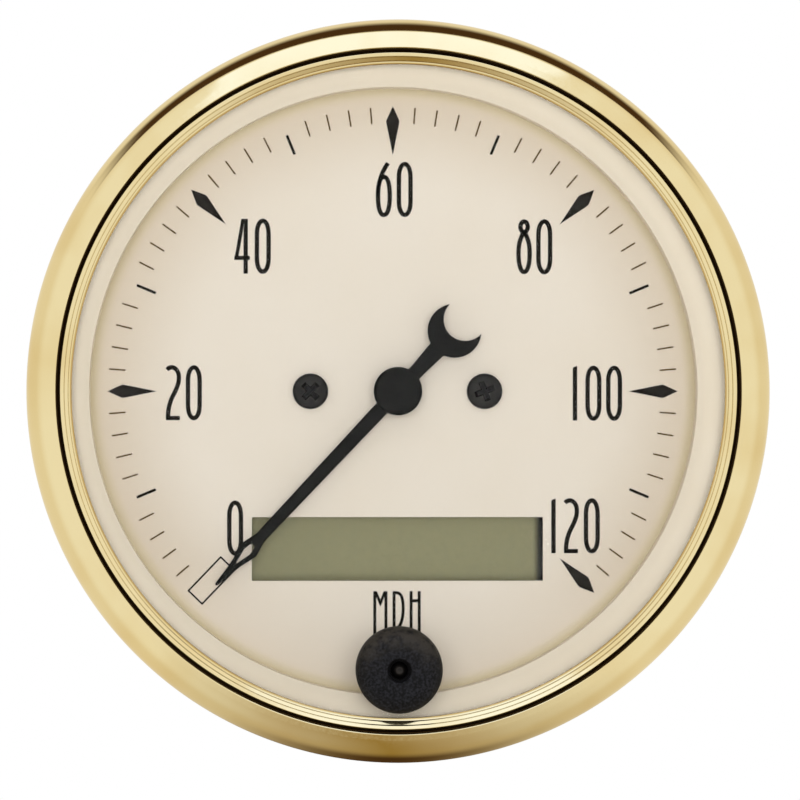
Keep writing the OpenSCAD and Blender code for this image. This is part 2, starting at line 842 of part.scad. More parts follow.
// Pointer with a lance head and a crescent tail, drawn pointing up
module pointer_blade() {
    head_at = pointer_len - head_back;
    flare_at = head_at - head_flare;
    slot_start = head_at - slot_len / 4;
    lance = [
        [blade_root_w, -cap_d / 4],
        [blade_end_w, flare_at],
        [(blade_end_w + head_w + tip_w) / 2, (flare_at + head_at) / 2],
        [head_w, head_at],
        [neck_w, (head_at + pointer_len) / 2],
        [tip_w, pointer_len - tip_w / 2],
        [tip_w / 2, pointer_len]
    ];
    stem = [
        [stem_end_w, -moon_at],
        [stem_root_w, 0]
    ];
    slot = [
        [slot_w / 2, slot_start],
        [slot_w, slot_start + slot_len / 3],
        [slot_w / 8, slot_start + slot_len]
    ];
    color("#2b2b29") facing() rotate([0, 0, pointer_rest]) difference() {
        union() {
            pointer_sheet(both_sides(lance));
            pointer_sheet(both_sides(stem));
            translate([0, -moon_at, 0]) disc(moon_r, blade_rear, blade_front);
        }
        translate([0, -moon_at - mouth_shift, 0]) disc(mouth_r, blade_rear - past, blade_front + past);
        pointer_sheet(both_sides(slot), past);
        disc(spindle_d / 2 + snug, blade_rear - past, blade_front + past);
    }
}

module pointer_cap() {
    top = blade_front + cap_h;
    color("#2b2b29") facing() difference() {
        union() {
            disc(cap_d / 2, blade_front, top - cap_bevel);
            translate([0, 0, top - cap_bevel]) cylinder(h = cap_bevel, r1 = cap_d / 2, r2 = cap_d / 2 - cap_bevel);
        }
        disc(spindle_d / 2 + snug, blade_front - past, spindle_front + snug);
    }
}

module pointer_bush() {
    color("#2b2b29") facing() tube(bush_d / 2, spindle_d / 2 + snug, blade_rear - bush_h, blade_rear);
}

module spindle() {
    color("silver") facing() disc(spindle_d / 2, spindle_rear, spindle_front);
}

module rotor_magnet() {
    color("#3a3a3c") facing() tube(magnet_r, spindle_d / 2 + snug, magnet_top - magnet_t, magnet_top);
}

module button_knob() {
    r = knob_d / 2;
    section = [
        [rod_r + snug, knob_rear],
        [r - knob_bevel, knob_rear],
        [r, knob_rear + knob_bevel],
        [r, knob_front - knob_bevel],
        [r - knob_bevel, knob_front],
        [eye_d / 2, knob_front],
        [eye_d / 2, rod_front],
        [rod_r + snug, rod_front]
    ];
    color("#262626") facing() at_button() rotate_extrude() polygon(section);
}

module button_rod() {
    color("silver") facing() at_button() difference() {
        disc(rod_r, rod_rear, rod_front);
        tube(rod_d, rod_r - clip_bite, clip_rear - snug, clip_front + snug);
    }
}

// Open clip that snaps into the rod's groove
module rod_clip() {
    mouth = rod_d - 2 * clip_bite + 2 * snug;
    color("silver") facing() at_button() difference() {
        tube(clip_d / 2, rod_r - clip_bite + snug, clip_rear, clip_front);
        translate([-mouth / 2, -clip_d, clip_rear - past]) cube([mouth, clip_d, clip_t + 2 * past]);
    }
}

module switch_plunger() {
    color("#8c2a20") facing() at_button() disc(plunger_d / 2, plunger_rear, rod_rear);
}

// Twist-lock socket: neck, lugs inside the case, flange and finger grip outside
module lamp_socket() {
    flange_rear_z = case_rear - socket_flange_t;
    grip_w = socket_flange_d - 2 * socket_flange_t;
    lug_r = socket_d / 2 + lug_reach;
    color("#d8d4c4") facing() at_lamp() difference() {
        union() {
            disc(socket_d / 2, case_rear, socket_front);
            disc(socket_flange_d / 2, flange_rear_z, case_rear);
            slab(grip_w, grip_t, flange_rear_z - grip_h, case_rear);
            intersection() {
                slab(2 * lug_r, lug_w, lug_rear, lug_rear + lug_t);
                disc(lug_r, lug_rear, lug_rear + lug_t);
            }
        }
        disc(socket_cup, socket_front - socket_depth / 2, socket_front + past);
        slab(wedge_w + 2 * snug, wedge_t + 2 * (contact_t + snug), wedge_rear - snug, socket_front + past);
    }
}

// Spring strips on both faces of the bulb's base
module lamp_contacts() {
    side_at = (wedge_t + contact_t) / 2 + snug;
    color("goldenrod") facing() at_lamp() for (side = [-1, 1])
        translate([0, side * side_at, 0]) slab(wedge_w / 2, contact_t, wedge_rear, socket_front - socket_depth / 4);
}

// Glass bulb with its flat wedge base
module lamp_bulb() {
    shoulder = socket_front - socket_depth / 4 + snug;
    tip = socket_front + bulb_len - bulb_d / 2;
    color("whitesmoke", 0.5) facing() at_lamp() {
        slab(wedge_w, wedge_t, wedge_rear, shoulder + past);
        disc(bulb_d / 2, shoulder, tip);
        translate([0, 0, tip]) intersection() {
            sphere(r = bulb_d / 2);
            disc(bulb_d, 0, bulb_d);
        }
    }
}

bezel();
lens_gasket();
lens();
lens_grommet();
spacer_ring();
dial_plate();
dial_screws();
lcd_panel();
lcd_frame();
lcd_connectors();
light_guide();
circuit_board();
board_screws();
switch_body();
processor_chip();
voltage_regulator();
filter_capacitors();
clock_crystal();
lead_header();
upper_bobbin();
lower_bobbin();
sine_coil();
cosine_coil();
coil_pins();
shield_can();
light_cup();
case();
case_rim();
mounting_studs();
lead_grommet();
pointer_blade();
pointer_cap();
pointer_bush();
spindle();
rotor_magnet();
button_knob();
button_rod();
rod_clip();
switch_plunger();
lamp_socket();
lamp_contacts();
lamp_bulb();
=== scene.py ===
"""Dresses a panel speedometer: gold bezel, printed cream dial, lance pointer, trip button, plated case."""

import math

import bmesh
import bpy
from bpy.props import FloatProperty, FloatVectorProperty, IntProperty, PointerProperty
from mathutils import Matrix, Vector


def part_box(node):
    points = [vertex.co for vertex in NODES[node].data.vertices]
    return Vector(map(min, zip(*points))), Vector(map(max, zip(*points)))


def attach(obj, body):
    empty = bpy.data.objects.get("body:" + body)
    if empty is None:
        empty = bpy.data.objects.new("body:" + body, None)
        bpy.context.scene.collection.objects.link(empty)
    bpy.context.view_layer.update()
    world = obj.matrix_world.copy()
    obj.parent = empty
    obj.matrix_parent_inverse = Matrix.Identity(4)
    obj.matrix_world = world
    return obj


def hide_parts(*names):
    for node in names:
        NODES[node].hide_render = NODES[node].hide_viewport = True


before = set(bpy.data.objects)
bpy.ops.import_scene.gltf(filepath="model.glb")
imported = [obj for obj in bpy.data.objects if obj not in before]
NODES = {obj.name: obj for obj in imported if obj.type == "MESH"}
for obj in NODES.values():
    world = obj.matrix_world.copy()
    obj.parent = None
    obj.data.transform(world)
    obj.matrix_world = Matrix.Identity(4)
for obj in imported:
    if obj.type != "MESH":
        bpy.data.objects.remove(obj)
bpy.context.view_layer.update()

bl_info = {
    "name": "Panel Speedometer",
    "version": (1, 0, 0),
    "blender": (4, 5, 0),
    "location": "3D View > Sidebar > Speedometer",
    "description": "Builds the looks of a panel speedometer around its packed frame",
    "category": "Object",
}

MM = 0.001
# The face frame, x right, y up and z towards the viewer, turned so that the dial faces -Y
FACING = Matrix.Rotation(math.radians(90), 4, "X")
# Gap that keeps two surfaces from sharing a plane, in millimetres
CLEAR = 0.02
# More places than any row has, so that its first one alone stays empty
WHOLE_ROW = 1000
# Painted shade: black for the insides of recesses in steel and plastic
RECESS_SHADE = "060505"


def linear(code):
    """Turns an sRGB hex value into a linear colour."""
    parts = [int(code[i : i + 2], 16) / 255 for i in (0, 2, 4)]
    return tuple(c / 12.92 if c <= 0.04045 else ((c + 0.055) / 1.055) ** 2.4 for c in parts)


def rgba(colour):
    return (*colour[:3], 1.0)


def toned(colour, *factors):
    """The colour with its parts multiplied by one factor, or by one factor each."""
    return tuple(c * f for c, f in zip(colour, factors * (3 // len(factors))))


def per_mm(size):
    """Texture scale that gives features of that size in millimetres on object coordinates."""
    return 1.0 / (size * MM)


def front_of(node):
    """Height of a CAD node's front end in the face frame, in millimetres."""
    return -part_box(node)[0].y / MM


def rear_of(node):
    return -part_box(node)[1].y / MM


def radius_of(node):
    low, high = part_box(node)
    return (high.z - low.z) / 2 / MM


def centre_of(node):
    """Place of a CAD node's middle on the face, right and up, in millimetres."""
    low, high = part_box(node)
    return (low.x + high.x) / 2 / MM, (low.z + high.z) / 2 / MM


def length_prop(label, words, value):
    return FloatProperty(name=label, description=words, default=value * MM, unit="LENGTH", precision=5)


def angle_prop(label, words, degrees):
    return FloatProperty(name=label, description=words, default=math.radians(degrees), subtype="ANGLE")


def level_prop(label, words, value):
    return FloatProperty(name=label, description=words, default=value, min=0)


def colour_prop(label, words, code):
    return FloatVectorProperty(
        name=label, description=words, default=linear(code), subtype="COLOR", size=3, min=0, max=1
    )


class BezelLooks(bpy.types.PropertyGroup):
    """Sizes and colour of the bezel"""

    outside: length_prop("Outside radius", "Radius of the bezel's rim", radius_of("bezel"))
    height: length_prop("Height", "Height of the bezel in front of the panel", front_of("bezel"))
    rim_round: length_prop("Rim rounding", "Radius of the outer front edge", 2.9)
    bead_width: length_prop("Bead width", "Width of the bead inside its rounding", 0.55)
    fall: length_prop("Fall", "Drop of the bead's top toward the rim", 0.3)
    face_width: length_prop("Face width", "Width from the rim to the window", 5.25)
    groove_width: length_prop("Groove width", "Width of the groove inside the bead", 0.5)
    groove_depth: length_prop("Groove depth", "Depth of the groove below the bead", 1.3)
    lip_low: length_prop("Lip depth", "Depth of the lip's window edge below the bead", 1.6)
    lip_step: length_prop("Lip step", "Distance between the steps of the lip", 0.45)
    wall: length_prop("Sheet", "Thickness of the folded sheet", 0.8)
    fold_width: length_prop("Fold width", "Width of the edge folded in at the back", 2.45)
    gold: colour_prop("Gold", "Colour of the gold plate", "EBDAA8")
    deep_gold: colour_prop("Deep gold", "Colour of the plate where it is thicker", "E2CB92")
    # Painted shade: the groove colour darkens the groove's hollow
    groove: colour_prop("Groove", "Colour of the polish left in the groove", "46331A")
    # Painted shade: the tarnish colour darkens the corners of the lip's steps and the window's edge
    tarnish: colour_prop("Tarnish", "Colour of the plate in the lip's steps and at its edge", "C0A264")


class DialLooks(bpy.types.PropertyGroup):
    """Sizes and colours of the dial, its scale and its display"""

    cream: colour_prop("Cream", "Colour of the dial's enamel", "EADFD1")
    # Painted shade: the shaded cream darkens the enamel toward the ring
    shaded_cream: colour_prop("Aged cream", "Colour of the enamel that age has dulled", "D8CAB8")
    # Painted shade: the edge colour darkens the enamel beside the ring
    edge: colour_prop("Edge cream", "Colour of the enamel beside the ring", "D2C4A4")
    # Painted light: the ring cream is paler than the ring bore cream, so that the ring brightens toward the
    # lip
    ring_cream: colour_prop("Ring cream", "Colour of the spacer ring", "F3E5D0")
    ring_bore: colour_prop("Ring bore cream", "Colour of the spacer ring at its bore", "E4D6C1")
    ink: colour_prop("Ink", "Colour of the printed scale", "120F0B")
    tick_ink: colour_prop("Tick ink", "Colour of the thin print of the minor ticks", "4E3D1E")
    glass: colour_prop("Display", "Colour of the blank display", "8A8666")
    print_height: length_prop("Print height", "Thickness of the printed ink", 0.02)
    print_shift: length_prop("Print shift", "Shift of the print and the ring's bore to the right", -0.54)
    bore: length_prop("Ring bore", "Radius of the spacer ring's bore", 35.1)
    scale_start: angle_prop("Scale start", "Angle of the zero mark, anticlockwise from the right", 225)
    scale_step: angle_prop("Scale step", "Angle between two neighbouring ticks", 4.5)
    tick_count: IntProperty(name="Ticks", description="Places on the scale, with zero", default=61, min=2)
    tick_inner: length_prop("Tick inside", "Inner radius of a minor tick", 31.1)
    tick_outer: length_prop("Tick outside", "Outer radius of a minor tick", 33.0)
    tick_width: length_prop("Tick width", "Width of a minor tick", 0.19)
    bar_inner: length_prop("Bar inside", "Inner radius of a half mark", 29.75)
    bar_outer: length_prop("Bar outside", "Outer radius of a half mark", 32.15)
    bar_width: length_prop("Bar width", "Width of a half mark", 0.32)
    lozenge_inner: length_prop("Lozenge inside", "Inner tip of a main mark", 27.4)
    lozenge_outer: length_prop("Lozenge outside", "Outer tip of a main mark", 33.1)
    lozenge_belly: length_prop("Lozenge belly", "Radius at a main mark's greatest width", 31.35)
    lozenge_width: length_prop("Lozenge width", "Greatest width of a main mark", 1.58)
    figure_height: length_prop("Figure height", "Height of the figures", 6.36)


class PointerLooks(bpy.types.PropertyGroup):
    """Sizes and colour of the pointer"""

    rest: angle_prop("Rest", "Angle of the resting pointer from the top of the dial", 136.8)
    reach: length_prop("Reach", "Length from the axis to the tip", 30.8)
    edge: length_prop("Edge", "Rounding of the blade's edges", 0.07)
    cap_round: length_prop("Cap rounding", "Rounding of the cap's edge", 0.35)
    black: colour_prop("Black", "Colour of the pointer's paint", "080807")


class ButtonLooks(bpy.types.PropertyGroup):
    """Sizes and colour of the trip button"""

    front_round: length_prop("Front rounding", "Rounding of the knob's front edge", 1.9)
    hole: length_prop("Hole", "Radius of the hole in front of the rod", 1.35)
    black: colour_prop("Black", "Colour of the knob's plastic", "09090B")
    # Painted light: the worn colour lightens the knob's upper part along with its rubbed edge
    worn_and_lit: colour_prop("Worn", "Colour of the knob's rubbed edge", "3A3631")


class RearLooks(bpy.types.PropertyGroup):
    """Sizes and colour of the fittings on the case's back"""

    pitch: length_prop("Thread pitch", "Pitch of the studs' thread", 0.8)
    thread_depth: length_prop("Thread depth", "Depth of the studs' thread", 0.42)
    plate: colour_prop("Zinc", "Colour of the zinc plate", "C9CBC8")


class StageLooks(bpy.types.PropertyGroup):
    """Camera, floor and light"""

    distance: length_prop("Distance", "Camera's distance", 780)
    side: angle_prop("Side", "Camera's turn to the right of the dial's axis", -1.2)
    lift: angle_prop("Lift", "Camera's height above the dial's axis", -0.2)
    frame_width: length_prop("Frame", "Width of the picture at the bezel's rim", 92.2)
    aim_x: length_prop("Aim right", "Picture's middle, right of the dial's axis", 0.18)
    aim_y: length_prop("Aim back", "Picture's middle, behind the panel's face", -6.1)
    aim_z: length_prop("Aim up", "Picture's middle, above the dial's axis", -1.03)
    floor_drop: length_prop("Floor", "Depth of the floor below the axis", 90)
    floor: colour_prop("Floor", "Colour of the floor", "F0EFEC")
    softbox: level_prop("Softbox", "Radiance of the mirrored softbox", 1.75)
    lamp: level_prop("Lamp", "Radiance of the lamp above", 0.6)
    fill: level_prop("Fill", "Radiance of the lamps in front and behind", 7.1)
    room: level_prop("Room", "Level of the light around the part", 0.38)
    daylight: colour_prop("Daylight", "Colour of the mirrored softbox", "DAE4FF")
    sides: colour_prop("Sides", "Colour of the mirrored room's sides", "F4EEE2")
    stand: colour_prop("Stand", "Colour of the mirrored stand below the lens", "9F864C")
    overhead: colour_prop("Overhead", "Colour of the mirrored room's dark overhead", "4B351F")


# Mesh building


def add_node(tree, kind, inputs=None, **settings):
    """Adds a node with its settings, its input values and its links."""
    node = tree.nodes.new(kind)
    for name, value in settings.items():
        setattr(node, name, value)
    for name, value in (inputs or {}).items():
        if isinstance(value, bpy.types.NodeSocket):
            tree.links.new(value, node.inputs[name])
        else:
            node.inputs[name].default_value = value
    return node


def smooth(mesh, degrees=32):
    mesh.shade_smooth()
    mesh.set_sharp_from_angle(angle=math.radians(degrees))
    return mesh


def new_mesh(name, bm, turn=FACING):
    """Closes a bmesh in face millimetres into a mesh in the part's frame."""
    bmesh.ops.remove_doubles(bm, verts=bm.verts, dist=1e-5)
    bmesh.ops.recalc_face_normals(bm, faces=bm.faces)
    bmesh.ops.transform(bm, matrix=turn @ Matrix.Scale(MM, 4), verts=bm.verts)
    mesh = bpy.data.meshes.new(name)
    bm.to_mesh(mesh)
    bm.free()
    return mesh


def new_object(name, mesh):
    obj = bpy.data.objects.new(name, mesh)
    bpy.context.scene.collection.objects.link(obj)
    return obj


def evaluated_mesh(obj):
    """A plain mesh of the object with its modifiers applied."""
    bpy.context.view_layer.update()
    graph = bpy.context.evaluated_depsgraph_get()
    return bpy.data.meshes.new_from_object(obj.evaluated_get(graph), depsgraph=graph)


def seat(name, mesh, material, body, slot, *nodes):
    """Puts a finished mesh on its body in place of the CAD nodes that it stands for."""
    mesh.materials.clear()
    mesh.materials.append(material)
    mesh.polygons.foreach_set("material_index", [0] * len(mesh.polygons))
    obj = new_object(name, mesh)
    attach(obj, body)
    if nodes:
        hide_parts(*nodes)


def dress(material, *nodes):
    """Gives CAD nodes that keep their shape a finish."""
    for node in nodes:
        for slot in NODES[node].material_slots:
            slot.material = material


def rounded(corners, steps=8, guard=0.0):
    """Closed outline of corners (x, y, radius) rounded by arcs. Guard points keep flats flat."""
    points = []
    for i, (x, y, r) in enumerate(corners):
        here = Vector((x, y))
        back = Vector(corners[i - 1][:2]) - here
        ahead = Vector(corners[(i + 1) % len(corners)][:2]) - here
        if r <= 0:
            points.append((x, y))
            continue
        half = back.angle(ahead) / 2
        centre = here + (back.normalized() + ahead.normalized()).normalized() * (r / math.sin(half))
        reach = r / math.tan(half)
        start = here + back.normalized() * reach - centre
        turn = (here + ahead.normalized() * reach - centre).angle_signed(start)
        if guard > 0:
            points.append(tuple(here + back.normalized() * (reach + guard)))
        for k in range(steps + 1):
            spin = Matrix.Rotation(turn * k / steps, 2)
            points.append(tuple(centre + spin @ start))
        if guard > 0:
            points.append(tuple(here + ahead.normalized() * (reach + guard)))
    return points


def lathe(name, section, segments=160, at=(0, 0)):
    """Turns a closed section of (radius, height) points about an axis of the face."""
    bm = bmesh.new()
    rings = []
    for r, z in section:
        if r < 1e-6:
            rings.append([bm.verts.new((at[0], at[1], z))])
            continue
        turns = [2 * math.pi * k / segments for k in range(segments)]
        rings.append([bm.verts.new((at[0] + r * math.cos(a), at[1] + r * math.sin(a), z)) for a in turns])
    for i, ring in enumerate(rings):
        other = rings[(i + 1) % len(rings)]
        for k in range(segments):
            j = (k + 1) % segments
            near = [ring[k % len(ring)], ring[j % len(ring)]]
            far = [other[j % len(other)], other[k % len(other)]]
            unique = list(dict.fromkeys(near + far))
            if len(unique) > 2:
                bm.faces.new(unique)
    return smooth(new_mesh(name, bm))


def slab(bm, outline, low, high):
    """Adds a flat plate with that outline between two heights."""
    top = [bm.verts.new((x, y, high)) for x, y in outline]
    bottom = [bm.verts.new((x, y, low)) for x, y in outline]
    bm.faces.new(top)
    bm.faces.new(bottom[::-1])
    for i in range(len(outline)):
        j = (i + 1) % len(outline)
        bm.faces.new([top[j], top[i], bottom[i], bottom[j]])


def band(bm, line, width, low, high, closed=False):
    """Adds a flat stroke of even width along a line, with mitred corners."""
    count = len(line)
    sides = []
    for i in range(count):
        here = Vector(line[i])
        into = here - Vector(line[i - 1]) if i or closed else Vector(line[1]) - here
        out = Vector(line[(i + 1) % count]) - here if i < count - 1 or closed else into
        before = Vector((-into.y, into.x)).normalized()
        after = Vector((-out.y, out.x)).normalized()
        middle = (before + after).normalized()
        middle *= width / 2 / max(middle.dot(before), 0.4)
        sides.append((here + middle, here - middle))
    for i in range(count if closed else count - 1):
        (a, b), (c, d) = sides[i], sides[(i + 1) % count]
        slab(bm, [a, b, d, c], low, high)


def spline(points, steps=6, closed=False):
    """Smooth line through the points."""
    count = len(points)
    line = []
    for i in range(count if closed else count - 1):
        pick = [(i + k) % count if closed else min(max(i + k, 0), count - 1) for k in (-1, 0, 1, 2)]
        a, b, c, d = (Vector(points[k]) for k in pick)
        for s in range(steps):
            t = s / steps
            p = 2 * b + (c - a) * t + (2 * a - 5 * b + 4 * c - d) * t**2 + (3 * b - a - 3 * c + d) * t**3
            line.append(tuple(p / 2))
    if not closed:
        line.append(tuple(points[-1]))
    return line


def arc(x, y, r, start, end, steps=24):
    turns = [math.radians(start + (end - start) * k / steps) for k in range(steps + 1)]
    return [(x + r * math.cos(a), y + r * math.sin(a)) for a in turns]


def softened(node, width, segments=2):
    """Copy of a CAD node's mesh with merged faces and small rounded edges."""
    bm = bmesh.new()
    bm.from_mesh(NODES[node].data)
    bmesh.ops.remove_doubles(bm, verts=bm.verts, dist=2e-6)
    bmesh.ops.dissolve_limit(bm, angle_limit=math.radians(0.5), verts=bm.verts, edges=bm.edges)
    mesh = bpy.data.meshes.new(node + "_soft")
    bm.to_mesh(mesh)
    bm.free()
    obj = new_object(node + "_soft", mesh)
    bevel = obj.modifiers.new("Edges", "BEVEL")
    bevel.width = width * MM
    bevel.segments = segments
    bevel.limit_method = "ANGLE"
    bevel.angle_limit = math.radians(35)
    result = evaluated_mesh(obj)
    bpy.data.objects.remove(obj)
    return smooth(result, 40)


def row_tree():
    """Geometry Nodes tree that repeats a piece along a line, with a turn at each place."""
    tree = bpy.data.node_groups.new("Row of pieces", "GeometryNodeTree")
    tree.is_modifier = True
    sockets = [
        ("Geometry", "NodeSocketGeometry"),
        ("Count", "NodeSocketInt"),
        ("Start", "NodeSocketVector"),
        ("Offset", "NodeSocketVector"),
        ("First Turn", "NodeSocketFloat"),
        ("Turn Step", "NodeSocketFloat"),
        ("Skip Every", "NodeSocketInt"),
        ("Material", "NodeSocketMaterial"),
    ]
    for name, kind in sockets:
        tree.interface.new_socket(name=name, in_out="INPUT", socket_type=kind)
    tree.interface.new_socket(name="Geometry", in_out="OUTPUT", socket_type="NodeSocketGeometry")
    group = add_node(tree, "NodeGroupInput").outputs
    index = add_node(tree, "GeometryNodeInputIndex").outputs["Index"]
    points = add_node(
        tree,
        "GeometryNodeMeshLine",
        {"Count": group["Count"], "Start Location": group["Start"], "Offset": group["Offset"]},
    )
    left = add_node(tree, "ShaderNodeMath", {0: index, 1: group["Skip Every"]}, operation="MODULO")
    kept = add_node(tree, "ShaderNodeMath", {0: left.outputs[0], 1: 0.5}, operation="GREATER_THAN")
    turned = add_node(tree, "ShaderNodeMath", {0: index, 1: group["Turn Step"]}, operation="MULTIPLY")
    angle = add_node(tree, "ShaderNodeMath", {0: group["First Turn"], 1: turned.outputs[0]}, operation="ADD")
    spin = add_node(
        tree, "FunctionNodeAxisAngleToRotation", {"Axis": (0, 0, 1), "Angle": angle.outputs[0]}
    )
    placed = add_node(
        tree,
        "GeometryNodeInstanceOnPoints",
        {
            "Points": points.outputs["Mesh"],
            "Selection": kept.outputs[0],
            "Instance": group["Geometry"],
            "Rotation": spin.outputs["Rotation"],
        },
    )
    real = add_node(tree, "GeometryNodeRealizeInstances", {"Geometry": placed.outputs["Instances"]})
    facing = add_node(
        tree,
        "GeometryNodeTransform",
        {"Geometry": real.outputs["Geometry"], "Rotation": (math.radians(90), 0, 0)},
    )
    painted = add_node(
        tree,
        "GeometryNodeSetMaterial",
        {"Geometry": facing.outputs["Geometry"], "Material": group["Material"]},
    )
    add_node(tree, "NodeGroupOutput", {"Geometry": painted.outputs["Geometry"]})
    return tree


def row_of(mesh, material, **values):
    """Mesh of a piece that the row tree repeats, with the first of every Skip Every places left empty."""
    tree = bpy.data.node_groups.get("Row of pieces") or row_tree()
    obj = new_object("row_source", mesh)
    modifier = obj.modifiers.new("Row", "NODES")
    modifier.node_group = tree
    values["Material"] = material
    for item in tree.interface.items_tree:
        if item.in_out == "INPUT" and item.name in values:
            modifier[item.identifier] = values[item.name]
    result = evaluated_mesh(obj)
    bpy.data.objects.remove(obj)
    return result


# Finishes


def new_material(name, colour, **values):
    """Material of one shader whose even values are set on its own sockets."""
    material = bpy.data.materials.new(name)
    material.use_nodes = True
    shader = material.node_tree.nodes["Principled BSDF"]
    shader.inputs["Base Color"].default_value = rgba(colour)
    material.diffuse_color = rgba(colour)
    for key, value in values.items():
        shader.inputs[key.replace("_", " ").title().replace("Ior", "IOR")].default_value = value
    return material, material.node_tree, shader


def mottled(tree, shader, colours, size, detail=4.0, low=0.35, high=0.65):
    """Lays two tones of one colour over the surface in soft patches of that size."""
    place = add_node(tree, "ShaderNodeTexCoord").outputs["Object"]
    cloud = add_node(tree, "ShaderNodeTexNoise", {"Vector": place, "Scale": per_mm(size), "Detail": detail})
    level = add_node(
        tree, "ShaderNodeMapRange", {"Value": cloud.outputs["Fac"], "From Min": low, "From Max": high}
    )
    blend = add_node(
        tree,
        "ShaderNodeMix",
        {"Factor": level.outputs["Result"], "A": rgba(colours[0]), "B": rgba(colours[1])},
        data_type="RGBA",
    )
    tree.links.new(blend.outputs["Result"], shader.inputs["Base Color"])
    return place


def grained(tree, shader, place, size, height, roughness):
    """Gives the surface a fine grain that varies its gloss and lifts its skin."""
    grit = add_node(tree, "ShaderNodeTexNoise", {"Vector": place, "Scale": per_mm(size), "Detail": 3.0})
    low, high = roughness
    gloss = add_node(
        tree,
        "ShaderNodeMapRange",
        {"Value": grit.outputs["Fac"], "From Min": 0.3, "From Max": 0.7, "To Min": low, "To Max": high},
    )
    tree.links.new(gloss.outputs["Result"], shader.inputs["Roughness"])
    skin = add_node(
        tree, "ShaderNodeBump", {"Height": grit.outputs["Fac"], "Distance": height * MM, "Strength": 0.6}
    )
    tree.links.new(skin.outputs["Normal"], shader.inputs["Normal"])


def two_toned(name, colour, tones, patch, grain, **values):
    """Finish of two tones in soft patches under a fine grain, given as for mottled and for grained."""
    material, tree, shader = new_material(name, colour, **values)
    place = mottled(tree, shader, tones, *patch)
    grained(tree, shader, place, *grain)
    return material, tree, shader, place


def zone(tree, *limits, share=1.0):
    """Share that is full where every value has passed from its soft start to its end, and else falls."""
    for value, start, end in limits:
        step = add_node(
            tree,
            "ShaderNodeMapRange",
            {"Value": value, "From Min": start, "From Max": end, "To Max": share},
            interpolation_type="SMOOTHSTEP",
        )
        share = step.outputs["Result"]
    return share


def distance_from_axis(tree, place, centre=(0, 0)):
    """Distance from an axis of the face, whose place right and up of the middle is in millimetres."""
    right, up = centre
    moved = add_node(
        tree,
        "ShaderNodeMapping",
        {"Vector": place, "Location": (-right * MM, 0, -up * MM), "Scale": (1, 0, 1)},
    )
    away = add_node(tree, "ShaderNodeVectorMath", {0: moved.outputs["Vector"]}, operation="LENGTH")
    return away.outputs["Value"]


def overlaid(tree, shader, colour, *limits, share=1.0):
    """Lays a colour over the one that the shader already shows, in a zone whose share it gives back."""
    amount = zone(tree, *limits, share=share)
    base = shader.inputs["Base Color"].links[0].from_socket
    blend = add_node(
        tree, "ShaderNodeMix", {"Factor": amount, "A": base, "B": rgba(colour)}, data_type="RGBA"
    )
    tree.links.new(blend.outputs["Result"], shader.inputs["Base Color"])
    return amount


def polished_gold_plate(looks):
    """Bright electroplated gold: mirror-like, faintly hazed by buffing, with painted shade in its groove, in
    its lip's steps and at its window's edge.
    """
    # Buffing leaves a haze of about 0.5 mm
    material, tree, shader, place = two_toned(
        "gold plate, polished",
        looks.gold,
        tones=(looks.gold, looks.deep_gold),
        patch=(9.0, 2.0, 0.45, 0.85),
        grain=(0.5, 0.0004, (0.05, 0.1)),
        metallic=1.0,
    )
    outer = looks.outside - looks.rim_round - looks.bead_width
    inner = outer - looks.groove_width
    window = looks.outside - looks.face_width
    away = distance_from_axis(tree, place)
    # Painted shade: faint brown lines in the corners of the lip's steps, and a full one at the window's edge
    for k in (1, 2):
        step = inner - k * looks.lip_step
        sides = [(away, step + side * 0.1 * MM, step) for side in (-1, 1)]
        overlaid(tree, shader, looks.tarnish, *sides, share=0.35)
    overlaid(tree, shader, looks.tarnish, (away, window + 0.3 * MM, window + 0.1 * MM))
    # Painted shade fills the groove from wall to wall, where the plate is also made rougher
    inner_wall = (away, inner + 0.04 * MM, inner + 0.2 * MM)
    outer_wall = (away, outer + 0.06 * MM, outer - 0.04 * MM)
    groove_shade = overlaid(tree, shader, looks.groove, inner_wall, outer_wall)
    gloss = shader.inputs["Roughness"].links[0].from_socket
    rough = add_node(tree, "ShaderNodeMapRange", {"Value": groove_shade, "To Min": gloss, "To Max": 0.6})
    tree.links.new(rough.outputs["Result"], shader.inputs["Roughness"])
    return material


def dial_enamel(looks):
    """Sprayed matt enamel: cream with a very fine tooth and barely warmer clouds, with painted shade toward
    the ring and painted light below the display.
    """
    # The paint's tooth is 0.12 mm
    material, tree, shader, place = two_toned(
        "cream enamel, sprayed",
        looks.cream,
        tones=(looks.cream, toned(looks.cream, 0.975, 0.965, 0.945)),
        patch=(14.0, 5.0, 0.35, 0.7),
        grain=(0.12, 0.004, (0.62, 0.74)),
        specular_ior_level=0.25,
    )
    # Painted shade: the last 12 mm before the ring grow darker
    away = distance_from_axis(tree, place, (looks.print_shift / MM, 0))
    overlaid(tree, shader, looks.shaded_cream, (away, looks.bore - 12 * MM, looks.bore - 0.5 * MM))
    # Painted light: below the display the enamel is lightened back toward cream, growing from 19 to 27 mm
    # under the axis
    axes = add_node(tree, "ShaderNodeSeparateXYZ", {"Vector": place})
    overlaid(tree, shader, looks.cream, (axes.outputs["Z"], -19 * MM, -27 * MM), share=0.45)
    # Painted shade: a line of 1.6 mm beside the ring is darker still
    overlaid(tree, shader, looks.edge, (away, looks.bore - 1.6 * MM, looks.bore))
    return material


